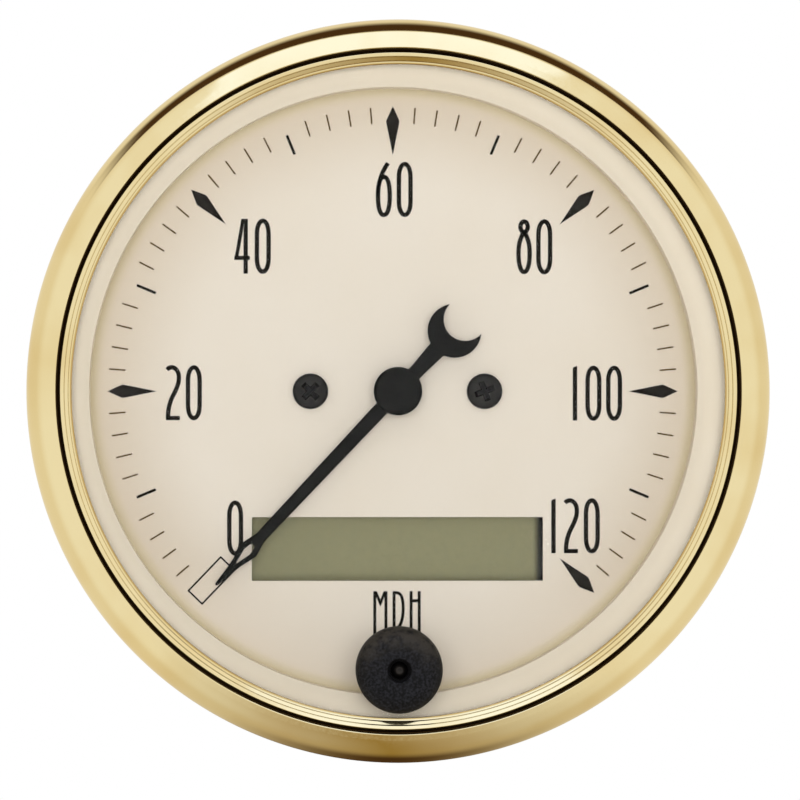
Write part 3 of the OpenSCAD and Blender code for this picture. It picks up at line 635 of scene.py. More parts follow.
def ring_plastic(looks):
    """Moulded satin plastic: cream, a little glossier than the dial, with painted light that makes it paler
    away from its bore.
    """
    material, tree, shader, place = two_toned(
        "cream ABS, satin",
        looks.ring_cream,
        tones=(looks.ring_cream, toned(looks.ring_cream, 0.97, 0.96, 0.94)),
        patch=(10.0,),
        grain=(0.18, 0.003, (0.5, 0.6)),
        ior=1.53,
        specular_ior_level=0.3,
    )
    away = distance_from_axis(tree, place, (looks.print_shift / MM, 0))
    # Painted light: over 2 mm from its bore the ring grows paler toward the lip
    overlaid(tree, shader, looks.ring_bore, (away, looks.bore + 2 * MM, looks.bore))
    return material


def screen_ink(name, colour):
    """Screen-printed ink: matt, with a faint unevenness from the mesh."""
    thin = tuple(c * 1.5 + 0.002 for c in colour)
    grain = (0.1, 0.002, (0.6, 0.75))
    return two_toned(name, colour, (colour, thin), (0.25, 2.0), grain, specular_ior_level=0.06)[0]


def pointer_paint(colour):
    """Baked matt black paint with a fine sandy tooth."""
    tones = toned(colour, 0.4), toned(colour, 4.0)
    grain = (0.14, 0.008, (0.5, 0.66))
    return two_toned(
        "black paint, baked matt", colour, tones, (0.3, 2.0), grain, specular_ior_level=0.035
    )[0]


def button_plastic(looks):
    """Spark-eroded black plastic: fine pebbled grain, rubbed grey at its edge, with painted light on its
    upper part.
    """
    # Pebbles of 0.2 mm, drawn a little coarse so that they show
    material, tree, shader, place = two_toned(
        "black ABS, spark-eroded",
        looks.black,
        tones=(toned(looks.black, 0.3), toned(looks.black, 5.5)),
        patch=(0.28, 2.0, 0.4, 0.66),
        grain=(0.24, 0.05, (0.48, 0.68)),
        ior=1.53,
        specular_ior_level=0.16,
    )
    # Rubbing and painted light from above: a lighter grey grows upward from the knob's middle, toward its
    # edge, in patches of 0.9 mm
    r, middle = radius_of("button_knob") * MM, centre_of("button_knob")
    away = distance_from_axis(tree, place, middle)
    axes = add_node(tree, "ShaderNodeSeparateXYZ", {"Vector": place})
    patch = add_node(tree, "ShaderNodeTexNoise", {"Vector": place, "Scale": per_mm(0.9), "Detail": 4.0})
    overlaid(
        tree,
        shader,
        looks.worn_and_lit,
        (axes.outputs["Z"], middle[1] * MM - 1 * MM, middle[1] * MM + 4 * MM),
        (away, r - 3.4 * MM, r - 0.6 * MM),
        (patch.outputs["Fac"], 0.25, 0.6),
    )
    # Painted shade: black inside the hole around the rod
    overlaid(tree, shader, linear(RECESS_SHADE), (away, looks.hole + 0.06 * MM, looks.hole - 0.06 * MM))
    return material


def display_glass(colour):
    """Blank reflective display: grey-green film with a pixel-fine grain, dark at its low and right edges."""
    material, tree, shader, place = two_toned(
        "display glass, blank",
        colour,
        tones=(colour, toned(colour, 0.88)),
        patch=(0.3, 2.0),
        grain=(0.25, 0.001, (0.3, 0.4)),
        specular_ior_level=0.1,
    )
    # Painted shade along the window's lower edge, and black along its right edge
    axes = add_node(tree, "ShaderNodeSeparateXYZ", {"Vector": place})
    overlaid(tree, shader, linear("4A4328"), (axes.outputs["Z"], -20.9 * MM, -22.2 * MM), share=0.5)
    overlaid(tree, shader, linear("080705"), (axes.outputs["X"], 15.7 * MM, 16.6 * MM))
    return material


def clear_lens():
    """Coated flat glass: clear, almost free of reflections, lets light through to the dial."""
    # The low index stands for the coating, which takes the reflections away
    material, tree, shader = new_material(
        "window glass, coated", linear("FBFDFC"), transmission_weight=1.0, ior=1.08
    )
    # Wiping leaves a faint haze in broad patches
    place = add_node(tree, "ShaderNodeTexCoord").outputs["Object"]
    haze = add_node(tree, "ShaderNodeTexNoise", {"Vector": place, "Scale": per_mm(12.0), "Detail": 3.0})
    gloss = add_node(
        tree, "ShaderNodeMapRange", {"Value": haze.outputs["Fac"], "To Min": 0.0, "To Max": 0.03}
    )
    tree.links.new(gloss.outputs["Result"], shader.inputs["Roughness"])
    # Light to and from the dial goes straight through
    rays = add_node(tree, "ShaderNodeLightPath")
    passing = add_node(tree, "ShaderNodeBsdfTransparent")
    surface = shader.outputs["BSDF"]
    for kind in ("Is Diffuse Ray", "Is Shadow Ray"):
        mix = add_node(
            tree, "ShaderNodeMixShader", {"Fac": rays.outputs[kind], 1: surface, 2: passing.outputs["BSDF"]}
        )
        surface = mix.outputs["Shader"]
    tree.links.new(surface, tree.nodes["Material Output"].inputs["Surface"])
    return material


def blackened_steel(height):
    """Oil-blackened steel: dark warm grey with a soft sheen, with painted shade in black below a height in
    mm.
    """
    material, tree, shader, place = two_toned(
        "steel, blackened",
        linear("35312D"),
        tones=(linear("3B3733"), linear("2C2926")),
        patch=(0.5,),
        grain=(0.15, 0.004, (0.42, 0.6)),
        metallic=0.3,
        specular_ior_level=0.15,
    )
    axes = add_node(tree, "ShaderNodeSeparateXYZ", {"Vector": place})
    # Painted shade: black up to 0.1 mm below the height, fading out by 0.4 mm above it
    recess_shade = (axes.outputs["Y"], -(height + 0.4) * MM, -(height - 0.1) * MM)
    overlaid(tree, shader, linear(RECESS_SHADE), recess_shade)
    return material


def bright_steel():
    """Drawn steel: bright, with a fine grain."""
    colour, dull = linear("B9B8B4"), linear("A3A29E")
    grain = (0.1, 0.002, (0.24, 0.36))
    return two_toned("steel, drawn bright", colour, (colour, dull), (0.8,), grain, metallic=1.0)[0]


def zinc_plate(colour):
    """Zinc-plated deep-drawn steel: silvery, clouded crystals and faint draw lines down the barrel."""
    material, tree, shader = new_material("steel, zinc plated", colour, metallic=1.0)
    place = mottled(tree, shader, (colour, toned(colour, 0.86)), 3.5, 6.0)
    # Draw lines of 0.4 mm round the barrel, stretched along its depth
    lines = add_node(tree, "ShaderNodeMapping", {"Vector": place, "Scale": (1.0, 0.02, 1.0)})
    streaks = add_node(
        tree, "ShaderNodeTexNoise", {"Vector": lines.outputs["Vector"], "Scale": per_mm(0.4), "Detail": 2.0}
    )
    cloud = add_node(tree, "ShaderNodeTexNoise", {"Vector": place, "Scale": per_mm(1.6), "Detail": 5.0})
    both = add_node(
        tree, "ShaderNodeMath", {0: streaks.outputs["Fac"], 1: cloud.outputs["Fac"]}, operation="MULTIPLY"
    )
    gloss = add_node(
        tree,
        "ShaderNodeMapRange",
        {"Value": both.outputs[0], "From Min": 0.12, "From Max": 0.4, "To Min": 0.26, "To Max": 0.44},
    )
    tree.links.new(gloss.outputs["Result"], shader.inputs["Roughness"])
    skin = add_node(
        tree, "ShaderNodeBump", {"Height": streaks.outputs["Fac"], "Distance": 0.004 * MM, "Strength": 0.5}
    )
    tree.links.new(skin.outputs["Normal"], shader.inputs["Normal"])
    return material


def black_rubber():
    """Moulded rubber: dull black with a dusty bloom."""
    tones = linear("191918"), linear("2A2A28")
    grain = (0.2, 0.01, (0.7, 0.85))
    return two_toned(
        "EPDM rubber, moulded", linear("1B1B1A"), tones, (1.2,), grain, specular_ior_level=0.3
    )[0]


def moulded_plastic(name, code, shade=0.85, roughness=(0.42, 0.56)):
    """Injection-moulded plastic: even colour with a fine satin skin."""
    colour = linear(code)
    tones, grain = (colour, toned(colour, shade)), (0.16, 0.003, roughness)
    return two_toned(name, colour, tones, (2.5,), grain, ior=1.5, specular_ior_level=0.4)[0]


def board_laminate():
    """Glass-epoxy board under green solder mask: copper tracks show as paler lanes."""
    mask, track = linear("1F5A33"), linear("2F7A48")
    material, tree, shader = new_material("FR4 board, green mask", mask, ior=1.55)
    place = add_node(tree, "ShaderNodeTexCoord").outputs["Object"]
    face = add_node(tree, "ShaderNodeMapping", {"Vector": place, "Rotation": (math.radians(90), 0, 0)})
    # Tracks between lanes of 2.5 mm, in units of 10 mm
    lanes = add_node(
        tree,
        "ShaderNodeTexBrick",
        {
            "Vector": face.outputs["Vector"],
            "Color1": rgba(mask),
            "Color2": rgba(mask),
            "Mortar": rgba(track),
            "Scale": per_mm(10.0),
            "Mortar Size": 0.02,
            "Brick Width": 1.1,
            "Row Height": 0.25,
        },
    )
    tree.links.new(lanes.outputs["Color"], shader.inputs["Base Color"])
    grained(tree, shader, place, 0.3, 0.002, (0.22, 0.34))
    return material


def copper_winding():
    """Enamelled copper wire: even turns, drawn at 0.3 mm so that they show."""
    wire, deep = linear("B4622D"), linear("9A4E20")
    material, tree, shader = new_material("copper wire, enamelled", wire, metallic=0.8, roughness=0.35)
    place = mottled(tree, shader, (wire, deep), 1.0)
    # The wave texture draws 20 turns in its unit
    turns = add_node(
        tree, "ShaderNodeTexWave", {"Vector": place, "Scale": per_mm(0.3) / 20, "Distortion": 0.3}
    )
    skin = add_node(tree, "ShaderNodeBump", {"Height": turns.outputs["Fac"], "Distance": 0.06 * MM})
    tree.links.new(skin.outputs["Normal"], shader.inputs["Normal"])
    return material


def ferrite():
    """Sintered ferrite: charcoal grey, dull and slightly pitted."""
    colour, dark = linear("3B3B3D"), linear("2C2C2E")
    grain = (0.25, 0.02, (0.6, 0.75))
    return two_toned("ferrite, sintered", colour, (colour, dark), (0.6,), grain, specular_ior_level=0.4)[0]


def spring_brass():
    """Rolled spring brass: warm yellow with a light tarnish."""
    colour, tarnish = linear("CBA75A"), linear("A9853F")
    grain = (0.15, 0.003, (0.28, 0.42))
    return two_toned("brass, rolled", colour, (colour, tarnish), (1.5,), grain, metallic=1.0)[0]


def bulb_glass():
    """Blown bulb glass: clear with a slightly wavy skin."""
    material, tree, shader = new_material(
        "bulb glass, blown", linear("F4F3EC"), transmission_weight=1.0, ior=1.5, roughness=0.04
    )
    place = add_node(tree, "ShaderNodeTexCoord").outputs["Object"]
    wave = add_node(tree, "ShaderNodeTexNoise", {"Vector": place, "Scale": per_mm(3.0), "Detail": 2.0})
    skin = add_node(tree, "ShaderNodeBump", {"Height": wave.outputs["Fac"], "Distance": 0.05 * MM})
    tree.links.new(skin.outputs["Normal"], shader.inputs["Normal"])
    return material


# Figures of the scale, in picture units with a height of 54


FIGURE_UNITS = 54.0
STROKE = 4.4
# Stroke of the unit's rounded letter
THIN_STROKE = 3.0
# Gap after a figure, and after a narrow 1
GAP = 5.0
WIDE_GAP = 8.3


def stretched_oval(x, y, half_w, half_h, end):
    """Upright line with elliptical ends, as a closed loop."""
    top = [(x + half_w * math.cos(a), y + half_h - end + end * math.sin(a)) for a in steps_of(0, 180)]
    bottom = [(x + half_w * math.cos(a), y - half_h + end + end * math.sin(a)) for a in steps_of(180, 360)]
    return top + bottom


def steps_of(start, end, count=14):
    return [math.radians(start + (end - start) * k / count) for k in range(count + 1)]


def box_of(x0, x1, y0, y1):
    return [(x0, y0), (x1, y0), (x1, y1), (x0, y1)]


def swollen_oval(x, y, half_w, half_h, fullness, count=40):
    """Closed loop between an ellipse and a rectangle."""
    loop = []
    for k in range(count):
        c, s = math.cos(2 * math.pi * k / count), math.sin(2 * math.pi * k / count)
        loop.append(
            (
                x + half_w * math.copysign(abs(c) ** (2 / fullness), c),
                y + half_h * math.copysign(abs(s) ** (2 / fullness), s),
            )
        )
    return loop


def figures():
    """Each figure's width, solid areas, loops and open lines."""
    two = [
        (0.9, 49.6), (3.0, 51.5), (6.2, 52.0), (9.6, 50.2), (12.0, 46.2), (12.6, 41.2),
        (11.7, 35.4), (8.8, 28.0), (5.5, 21.4), (3.1, 14.0), (2.0, 7.0), (1.95, 1.0),
    ]
    six = [(11.9, 52.9), (9.5, 49.4), (6.5, 43.6), (4.1, 36.8), (2.5, 29.4), (1.95, 20.6)]
    drop = [
        (7.2, 41.4), (10.1, 36.0), (12.2, 28.6), (12.7, 20.0), (12.1, 11.2), (10.1, 4.4),
        (7.2, 2.2), (4.3, 4.4), (2.3, 11.2), (1.7, 20.0), (2.2, 28.6), (4.3, 36.0),
    ]
    bowl = [
        (1.2, 52.4), (5.6, 52.1), (8.9, 48.6), (10.4, 40.5), (10.0, 29.5), (7.6, 21.0),
        (4.0, 17.6), (1.2, 17.3),
    ]
    return {
        "0": (15.4, [], [stretched_oval(7.7, 27, 5.75, 25.05, 12.5)], []),
        "1": (4.4, [[(0, 0), (4.4, 0), (4.4, 54), (0, 52.2)]], [], []),
        "2": (14.6, [box_of(0, 13.6, 0, 4.2)], [], [spline(two)]),
        "4": (
            15.4,
            [
                [(0, 13.6), (3.7, 13.6), (8.6, 42), (9.6, 54), (7.0, 54)],
                box_of(0, 15.4, 13.5, 17.5),
                box_of(9.1, 13.4, 0, 54),
            ],
            [],
            [],
        ),
        "6": (15.6, [], [swollen_oval(7.75, 20.6, 5.8, 18.7, 2.3)], [spline(six)]),
        "8": (14.4, [], [swollen_oval(7.2, 46.7, 3.6, 5.2, 2.0), spline(drop, closed=True)], []),
        "M": (
            14.0,
            [
                box_of(0, 3, 0, 54),
                box_of(11, 14, 0, 54),
                [(0.4, 54), (3.6, 54), (7.0, 45.8), (7.0, 38.6)],
                [(13.6, 54), (7.0, 38.6), (7.0, 45.8), (10.4, 54)],
            ],
            [],
            [],
        ),
        "P": (11.8, [box_of(0, 3, 0, 54)], [], [spline(bowl)]),
        "H": (10.8, [box_of(0, 3, 0, 54), box_of(8, 11, 0, 54), box_of(0, 11, 42.9, 46)], [], []),
    }


def on_face(points, left, base, pen, unit):
    """Points in picture units, moved on by the pen and set on a label's place on the face."""
    return [(left + (pen + x) * unit, base + y * unit) for x, y in points]


# Each label's left and lower end on the face, in millimetres
LABELS = [
    ("0", -19.2, -19.05),
    ("20", -26.3, -3.35),
    ("40", -18.4, 13.65),
    ("60", -1.95, 20.25),
    ("80", 14.4, 13.6),
    ("100", 20.9, -3.4),
    ("120", 18.4, -18.8),
    ("MPH", -2.27, -29.55),
]


def write_labels(bm, height, low, high):
    """Draws the scale's figures as thin plates of ink."""
    shapes = figures()
    unit = height / FIGURE_UNITS
    for text, left, base in LABELS:
        pen = 0.0
        for letter in text:
            width, solids, loops, lines = shapes[letter]
            stroke = (THIN_STROKE if letter == "P" else STROKE) * unit
            for outline in solids:
                slab(bm, on_face(outline, left, base, pen, unit), low, high)
            for line in loops:
                band(bm, on_face(line, left, base, pen, unit), stroke, low, high, closed=True)
            for line in lines:
                band(bm, on_face(line, left, base, pen, unit), stroke, low, high)
            pen += width + (WIDE_GAP if letter == "1" else GAP)


# Operators


class SPEEDOMETER_OT_bezel(bpy.types.Operator):
    """Turns the folded gold bezel with its bead, groove and lip"""

    bl_idname = "speedometer.bezel"
    bl_label = "Bezel"

    def execute(self, context):
        looks = context.scene.speedometer_bezel
        r, h, wall = (v / MM for v in (looks.outside, looks.height, looks.wall))
        rim, bead = looks.rim_round / MM, looks.bead_width / MM
        crest = r - rim
        groove = crest - bead
        lip = groove - looks.groove_width / MM
        window = r - looks.face_width / MM
        steps = [lip - looks.lip_step / MM * k for k in (1, 2)]
        # Drop of each tread of the lip below the bead, at its outer and its inner end
        (first, first_end), (second, second_end), third = (0.45, 0.497), (0.977, 1.079), 1.558
        # Half the run of the riser between two treads
        lean = 0.02
        fold = r - looks.fold_width / MM
        under = front_of("lens_gasket")
        section = rounded(
            [
                (r, 0, wall),
                (r, h - looks.fall / MM, rim),
                (groove, h, 0.12),
                (groove, h - looks.groove_depth / MM, 0.1),
                (lip, h - first, 0.08),
                (steps[0] + lean, h - first_end, 0.05),
                (steps[0] - lean, h - second, 0.05),
                (steps[1] + lean, h - second_end, 0.05),
                (steps[1] - lean, h - third, 0.05),
                (window, h - looks.lip_low / MM, 0.08),
                (window, under, 0),
                (crest, under, 0),
                (crest, h - wall, 0),
                (r - wall, h - wall, rim - wall - 0.001),
                (r - wall, wall, 0),
                (fold, wall, 0.2),
                (fold, 0, 0.2),
            ],
            steps=14,
            guard=0.04,
        )
        mesh = lathe("bezel_shell", section, 288)
        seat("bezel_shell", mesh, polished_gold_plate(looks), "housing", "gold_plate", "bezel")
        return {"FINISHED"}


class SPEEDOMETER_OT_lens(bpy.types.Operator):
    """Glazes the window and finishes its gasket and grommet"""

    bl_idname = "speedometer.lens"
    bl_label = "Lens"

    def execute(self, context):
        dress(clear_lens(), "lens")
        dress(black_rubber(), "lens_gasket", "lens_grommet")
        return {"FINISHED"}


class SPEEDOMETER_OT_dial(bpy.types.Operator):
    """Enamels the dial and turns the spacer ring in front of it"""

    bl_idname = "speedometer.dial"
    bl_label = "Dial and ring"

    def execute(self, context):
        looks = context.scene.speedometer_dial
        dress(dial_enamel(looks), "dial_plate")
        # The ring stops short of the lens so that no two surfaces share a plane
        low, high = rear_of("spacer_ring"), front_of("spacer_ring") - CLEAR
        outside, skirt = radius_of("spacer_ring"), radius_of("dial_plate")
        step = front_of("case_rim")
        bore = looks.bore / MM
        section = rounded(
            [
                (bore, low, 0),
                (bore, high, 0.1),
                (outside, high, 0.2),
                (outside, step, 0),
                (skirt, step, 0),
                (skirt, low, 0),
            ]
        )
        mesh = lathe("dial_ring", section, 240)
        # The bore follows the print to the side
        for vertex in mesh.vertices:
            if math.hypot(vertex.co.x, vertex.co.z) < looks.bore + 0.5 * MM:
                vertex.co.x += looks.print_shift
        seat("dial_ring", mesh, ring_plastic(looks), "housing", "cream_plastic", "spacer_ring")
        return {"FINISHED"}


class SPEEDOMETER_OT_scale(bpy.types.Operator):
    """Prints the scale: ticks, half marks, lozenges, figures and the zero box"""

    bl_idname = "speedometer.scale"
    bl_label = "Scale"

    def zero_box(self, start):
        """Corners of the box at zero, which lies along the scale's first radius."""
        inner, outer, half, past = 27.7, 33.1, 1.1, math.radians(1.2)
        turn = Matrix.Rotation(start + past, 2)
        return [turn @ Vector(p) for p in box_of(inner, outer, -half, half)]

    def execute(self, context):
        looks = context.scene.speedometer_dial
        ink = screen_ink("screen ink, black", looks.ink)
        thin = screen_ink("screen ink, thin brown", looks.tick_ink)
        low = front_of("dial_plate")
        high = low + looks.print_height / MM
        tick, bar, lozenge = (v / 2 / MM for v in (looks.tick_width, looks.bar_width, looks.lozenge_width))
        tip, end, belly = (v / MM for v in (looks.lozenge_inner, looks.lozenge_outer, looks.lozenge_belly))
        kite = [(tip, 0), (belly, -lozenge), (end, 0), (belly, lozenge)]
        # Each kind of mark, the ticks from one to the next, and the places from one empty one to the next
        for name, paint, outline, ticks, skip in (
            ("scale_ticks", thin, box_of(looks.tick_inner / MM, looks.tick_outer / MM, -tick, tick), 1, 5),
            ("scale_bars", ink, box_of(looks.bar_inner / MM, looks.bar_outer / MM, -bar, bar), 5, 2),
            ("scale_lozenges", ink, kite, 10, WHOLE_ROW),
        ):
            bm = bmesh.new()
            slab(bm, outline, low, high)
            row = {
                "Count": (looks.tick_count - 1) // ticks + 1,
                "Start": (looks.print_shift, 0, 0),
                "First Turn": looks.scale_start,
                "Turn Step": -looks.scale_step * ticks,
                "Skip Every": skip,
            }
            mesh = row_of(new_mesh(name, bm, Matrix.Identity(4)), paint, **row)
            seat(name, mesh, paint, "housing", "black_oxide")
        bm = bmesh.new()
        write_labels(bm, looks.figure_height / MM, low, high)
        line = 0.2
        band(bm, self.zero_box(looks.scale_start), line, low, high, closed=True)
        bmesh.ops.translate(bm, vec=(looks.print_shift / MM, 0, 0), verts=bm.verts)
        seat("scale_figures", new_mesh("scale_figures", bm), ink, "housing", "black_oxide")
        return {"FINISHED"}


class SPEEDOMETER_OT_screws(bpy.types.Operator):
    """Makes the two cross-head screws that hold the dial"""

    bl_idname = "speedometer.screws"
    bl_label = "Dial screws"

    def recess(self, top):
        """Cross-shaped cutter that narrows toward the recess's floor."""
        # Half length, half width and height of an arm of the cross, at its floor and above the head
        floor, mouth = (0.9, 0.24, top - 0.9), (1.24, 0.37, top + 0.1)
        cutter = bmesh.new()
        for turn in (0, 90):
            spin = Matrix.Rotation(math.radians(turn), 2)
            rings = []
            for length, width, z in (floor, mouth):
                corners = [spin @ Vector(p) for p in box_of(-length, length, -width, width)]
                rings.append([cutter.verts.new((p.x, p.y, z)) for p in corners])
            lower, upper = rings
            cutter.faces.new(lower[::-1])
            cutter.faces.new(upper)
            for i in range(4):
                j = (i + 1) % 4
                cutter.faces.new([lower[i], lower[j], upper[j], upper[i]])
        return new_mesh("cross_recess", cutter)

    def execute(self, context):
        top, under, tail = front_of("dial_screws"), front_of("dial_plate"), rear_of("dial_screws")
        head, shank, crown = radius_of("dial_screws"), 0.95, 0.12
        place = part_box("dial_screws")[1].x / MM - head
        section = rounded(
            [
                (0, top, 0),
                (head - 0.06, top - crown, 0.3),
                (head, under, 0.05),
                (shank, under, 0),
                (shank, tail, 0.2),
                (0, tail, 0),
            ]
        )
        holder = new_object("dial_screw", lathe("dial_screw", section, 64))
        tool = new_object("cross_recess", self.recess(top))
        cut = holder.modifiers.new("Recess", "BOOLEAN")
        cut.operation = "DIFFERENCE"
        cut.solver = "EXACT"
        cut.use_self = True
        cut.object = tool
        screw = evaluated_mesh(holder)
        bpy.data.objects.remove(holder)
        bpy.data.objects.remove(tool)
        screw.transform(FACING.inverted())
        # Painted shade: the steel turns black below the head's edge, which darkens the cross recess and part
        # of the head
        steel = blackened_steel(top - crown)
        # The row's first place, left of the pair, stays empty
        row = {
            "Count": 3,
            "Start": (-3 * place * MM, 0, 0),
            "Offset": (2 * place * MM, 0, 0),
            "First Turn": math.radians(70),
            "Turn Step": math.radians(-25),
            "Skip Every": WHOLE_ROW,
        }
        mesh = smooth(row_of(screw, steel, **row), 35)
        seat("dial_screw_pair", mesh, steel, "housing", "black_oxide", "dial_screws")
        return {"FINISHED"}


class SPEEDOMETER_OT_display(bpy.types.Operator):
    """Finishes the blank display, its frame, strips and light guide"""

    bl_idname = "speedometer.display"
    bl_label = "Display"

    def execute(self, context):
        dress(display_glass(context.scene.speedometer_dial.glass), "lcd_panel")
        dress(moulded_plastic("nylon, black", "1C1C1C", 1.3), "lcd_frame")
        dress(moulded_plastic("silicone strip, striped", "B8566F", 0.7, (0.6, 0.8)), "lcd_connectors")
        dress(moulded_plastic("acrylic, opal", "EFEFEA", 0.95, (0.2, 0.3)), "light_guide")
        return {"FINISHED"}


class SPEEDOMETER_OT_pointer(bpy.types.Operator):
    """Cuts the lance pointer with its crescent tail and turns its cap"""

    bl_idname = "speedometer.pointer"
    bl_label = "Pointer"

    def outlines(self, reach):
        """Outline of the upright blade and of the open slot in its head, drawn for a reach of 30.8 mm."""
        k = reach / 30.8
        side = [(0.885, -1.0), (0.66, 23.1 * k), (0.72, 23.5 * k), (1.1, 24.95 * k), (1.15, 25.2 * k)]
        side += [(1.1, 25.42 * k), (0.63, 27.2 * k), (0.45, 28.3 * k), (0.2, 30.5 * k)]
        side += [(0.15, reach - 0.12), (0.06, reach - 0.02)]
        moon, mouth = (0, -9.6, 3.12), (0, -11.41, 2.5)
        blade = side + [(-x, y) for x, y in side[::-1]]
        blade += [(-0.845, -3.5), (-1.05, -6.66)]
        blade += arc(*moon, 109.7, 216.7)[1:]
        blade += arc(*mouth, 181.2, -1.2)[1:-1]
        blade += arc(*moon, -36.7, 70.3)
        blade += [(0.845, -3.5)]
        edge = [(x, y * k) for x, y in ((0.16, 24.4), (0.34, 24.66), (0.45, 25.5), (0.04, 27.3))]
        slot = edge + [(-x, y) for x, y in edge[::-1]]
        return blade, slot

    def blade(self, looks, low, high):
        """Blade with rounded edges, turned to its place at rest."""
        edge = looks.edge / MM
        curve = bpy.data.curves.new("pointer_outline", "CURVE")
        curve.dimensions = "2D"
        curve.fill_mode = "BOTH"
        curve.extrude = (high - low) / 2 - edge
        curve.bevel_depth = edge
        curve.bevel_resolution = 2
        curve.offset = -edge
        for points in self.outlines(looks.reach / MM):
            path = curve.splines.new("POLY")
            path.points.add(len(points) - 1)
            path.points.foreach_set("co", [v for x, y in points for v in (x, y, 0, 1)])
            path.use_cyclic_u = True
        flat = new_object("pointer_outline", curve)
        bm = bmesh.new()
        bm.from_mesh(evaluated_mesh(flat))
        bpy.data.objects.remove(flat)
        lift = Matrix.Translation((0, 0, (low + high) / 2))
        bmesh.ops.transform(bm, matrix=lift @ Matrix.Rotation(looks.rest, 4, "Z"), verts=bm.verts)
        return smooth(new_mesh("pointer_lance", bm), 28)

    def execute(self, context):
        looks = context.scene.speedometer_pointer
        low, high = rear_of("pointer_blade"), front_of("pointer_blade")
        paint = pointer_paint(looks.black)
        blade = self.blade(looks, low, high)
        seat("pointer_lance", blade, paint, "pointer", "pointer_paint", "pointer_blade")
        r, top = radius_of("pointer_cap"), front_of("pointer_cap")
        # The cap's top is crowned by 0.03 mm
        crown = [(0, top, 0), (r, top - 0.03, looks.cap_round / MM), (r, high, 0.1), (0, high, 0)]
        cap = lathe("pointer_hub", rounded(crown, steps=10), 96)
        seat("pointer_hub", cap, paint, "pointer", "pointer_plastic", "pointer_cap")
        dress(moulded_plastic("acetal, black", "222222", 1.4), "pointer_bush")
        return {"FINISHED"}


class SPEEDOMETER_OT_button(bpy.types.Operator):
    """Turns the trip button and finishes its rod, clip and switch"""

    bl_idname = "speedometer.button"
    bl_label = "Trip button"

    def rod(self, r, end):
        """Rod with a coned end and the groove that its clip sits in."""
        low, neck = rear_of("button_rod"), r - 0.25
        clip_low, clip_high = rear_of("rod_clip") - CLEAR, front_of("rod_clip") + CLEAR
        section = [(0, low), (r, low), (r, clip_low), (neck, clip_low), (neck, clip_high), (r, clip_high)]
        section += [(r, end - 0.5), (0.5, end - 0.1), (0.4, end), (0, end)]
        mesh = lathe("trip_rod", section, 48, centre_of("button_rod"))
        # Painted shade: the rod turns black below its end, deep in the knob's hole
        seat("trip_rod", mesh, blackened_steel(end - 0.2), "trip_button", "black_oxide", "button_rod")

    def execute(self, context):
        looks = context.scene.speedometer_button
        r, hole, bore = radius_of("button_knob"), looks.hole / MM, radius_of("button_rod") + CLEAR
        low, high = rear_of("button_knob"), front_of("button_knob")
        end = front_of("button_rod")
        # The hole's floor lies behind the rod's end
        floor = end - 0.8
        section = rounded(
            [
                (bore, low, 0),
                (r, low, 0.4),
                (r, high, looks.front_round / MM),
                (hole, high, 0.16),
                (hole, floor, 0),
                (bore, floor, 0),
            ],
            steps=10,
        )
        mesh = lathe("trip_knob", section, 144, centre_of("button_knob"))
        seat("trip_knob", mesh, button_plastic(looks), "trip_button", "button_plastic", "button_knob")
        self.rod(bore - CLEAR, end)
        dress(bright_steel(), "rod_clip")
        dress(moulded_plastic("phenolic, black", "202020", 1.3), "switch_body")
        dress(moulded_plastic("nylon, red", "8E2C20", 0.8), "switch_plunger")
        return {"FINISHED"}


class SPEEDOMETER_OT_case(bpy.types.Operator):
    """Plates the case and its rim and softens the lead outlet"""

    bl_idname = "speedometer.case"
    bl_label = "Case"

    def execute(self, context):
        zinc = zinc_plate(context.scene.speedometer_rear.plate)
        dress(zinc, "case", "case_rim")
        outlet = softened("lead_grommet", 0.35, 3)
        seat("lead_outlet", outlet, black_rubber(), "housing", "gasket_rubber", "lead_grommet")
        return {"FINISHED"}


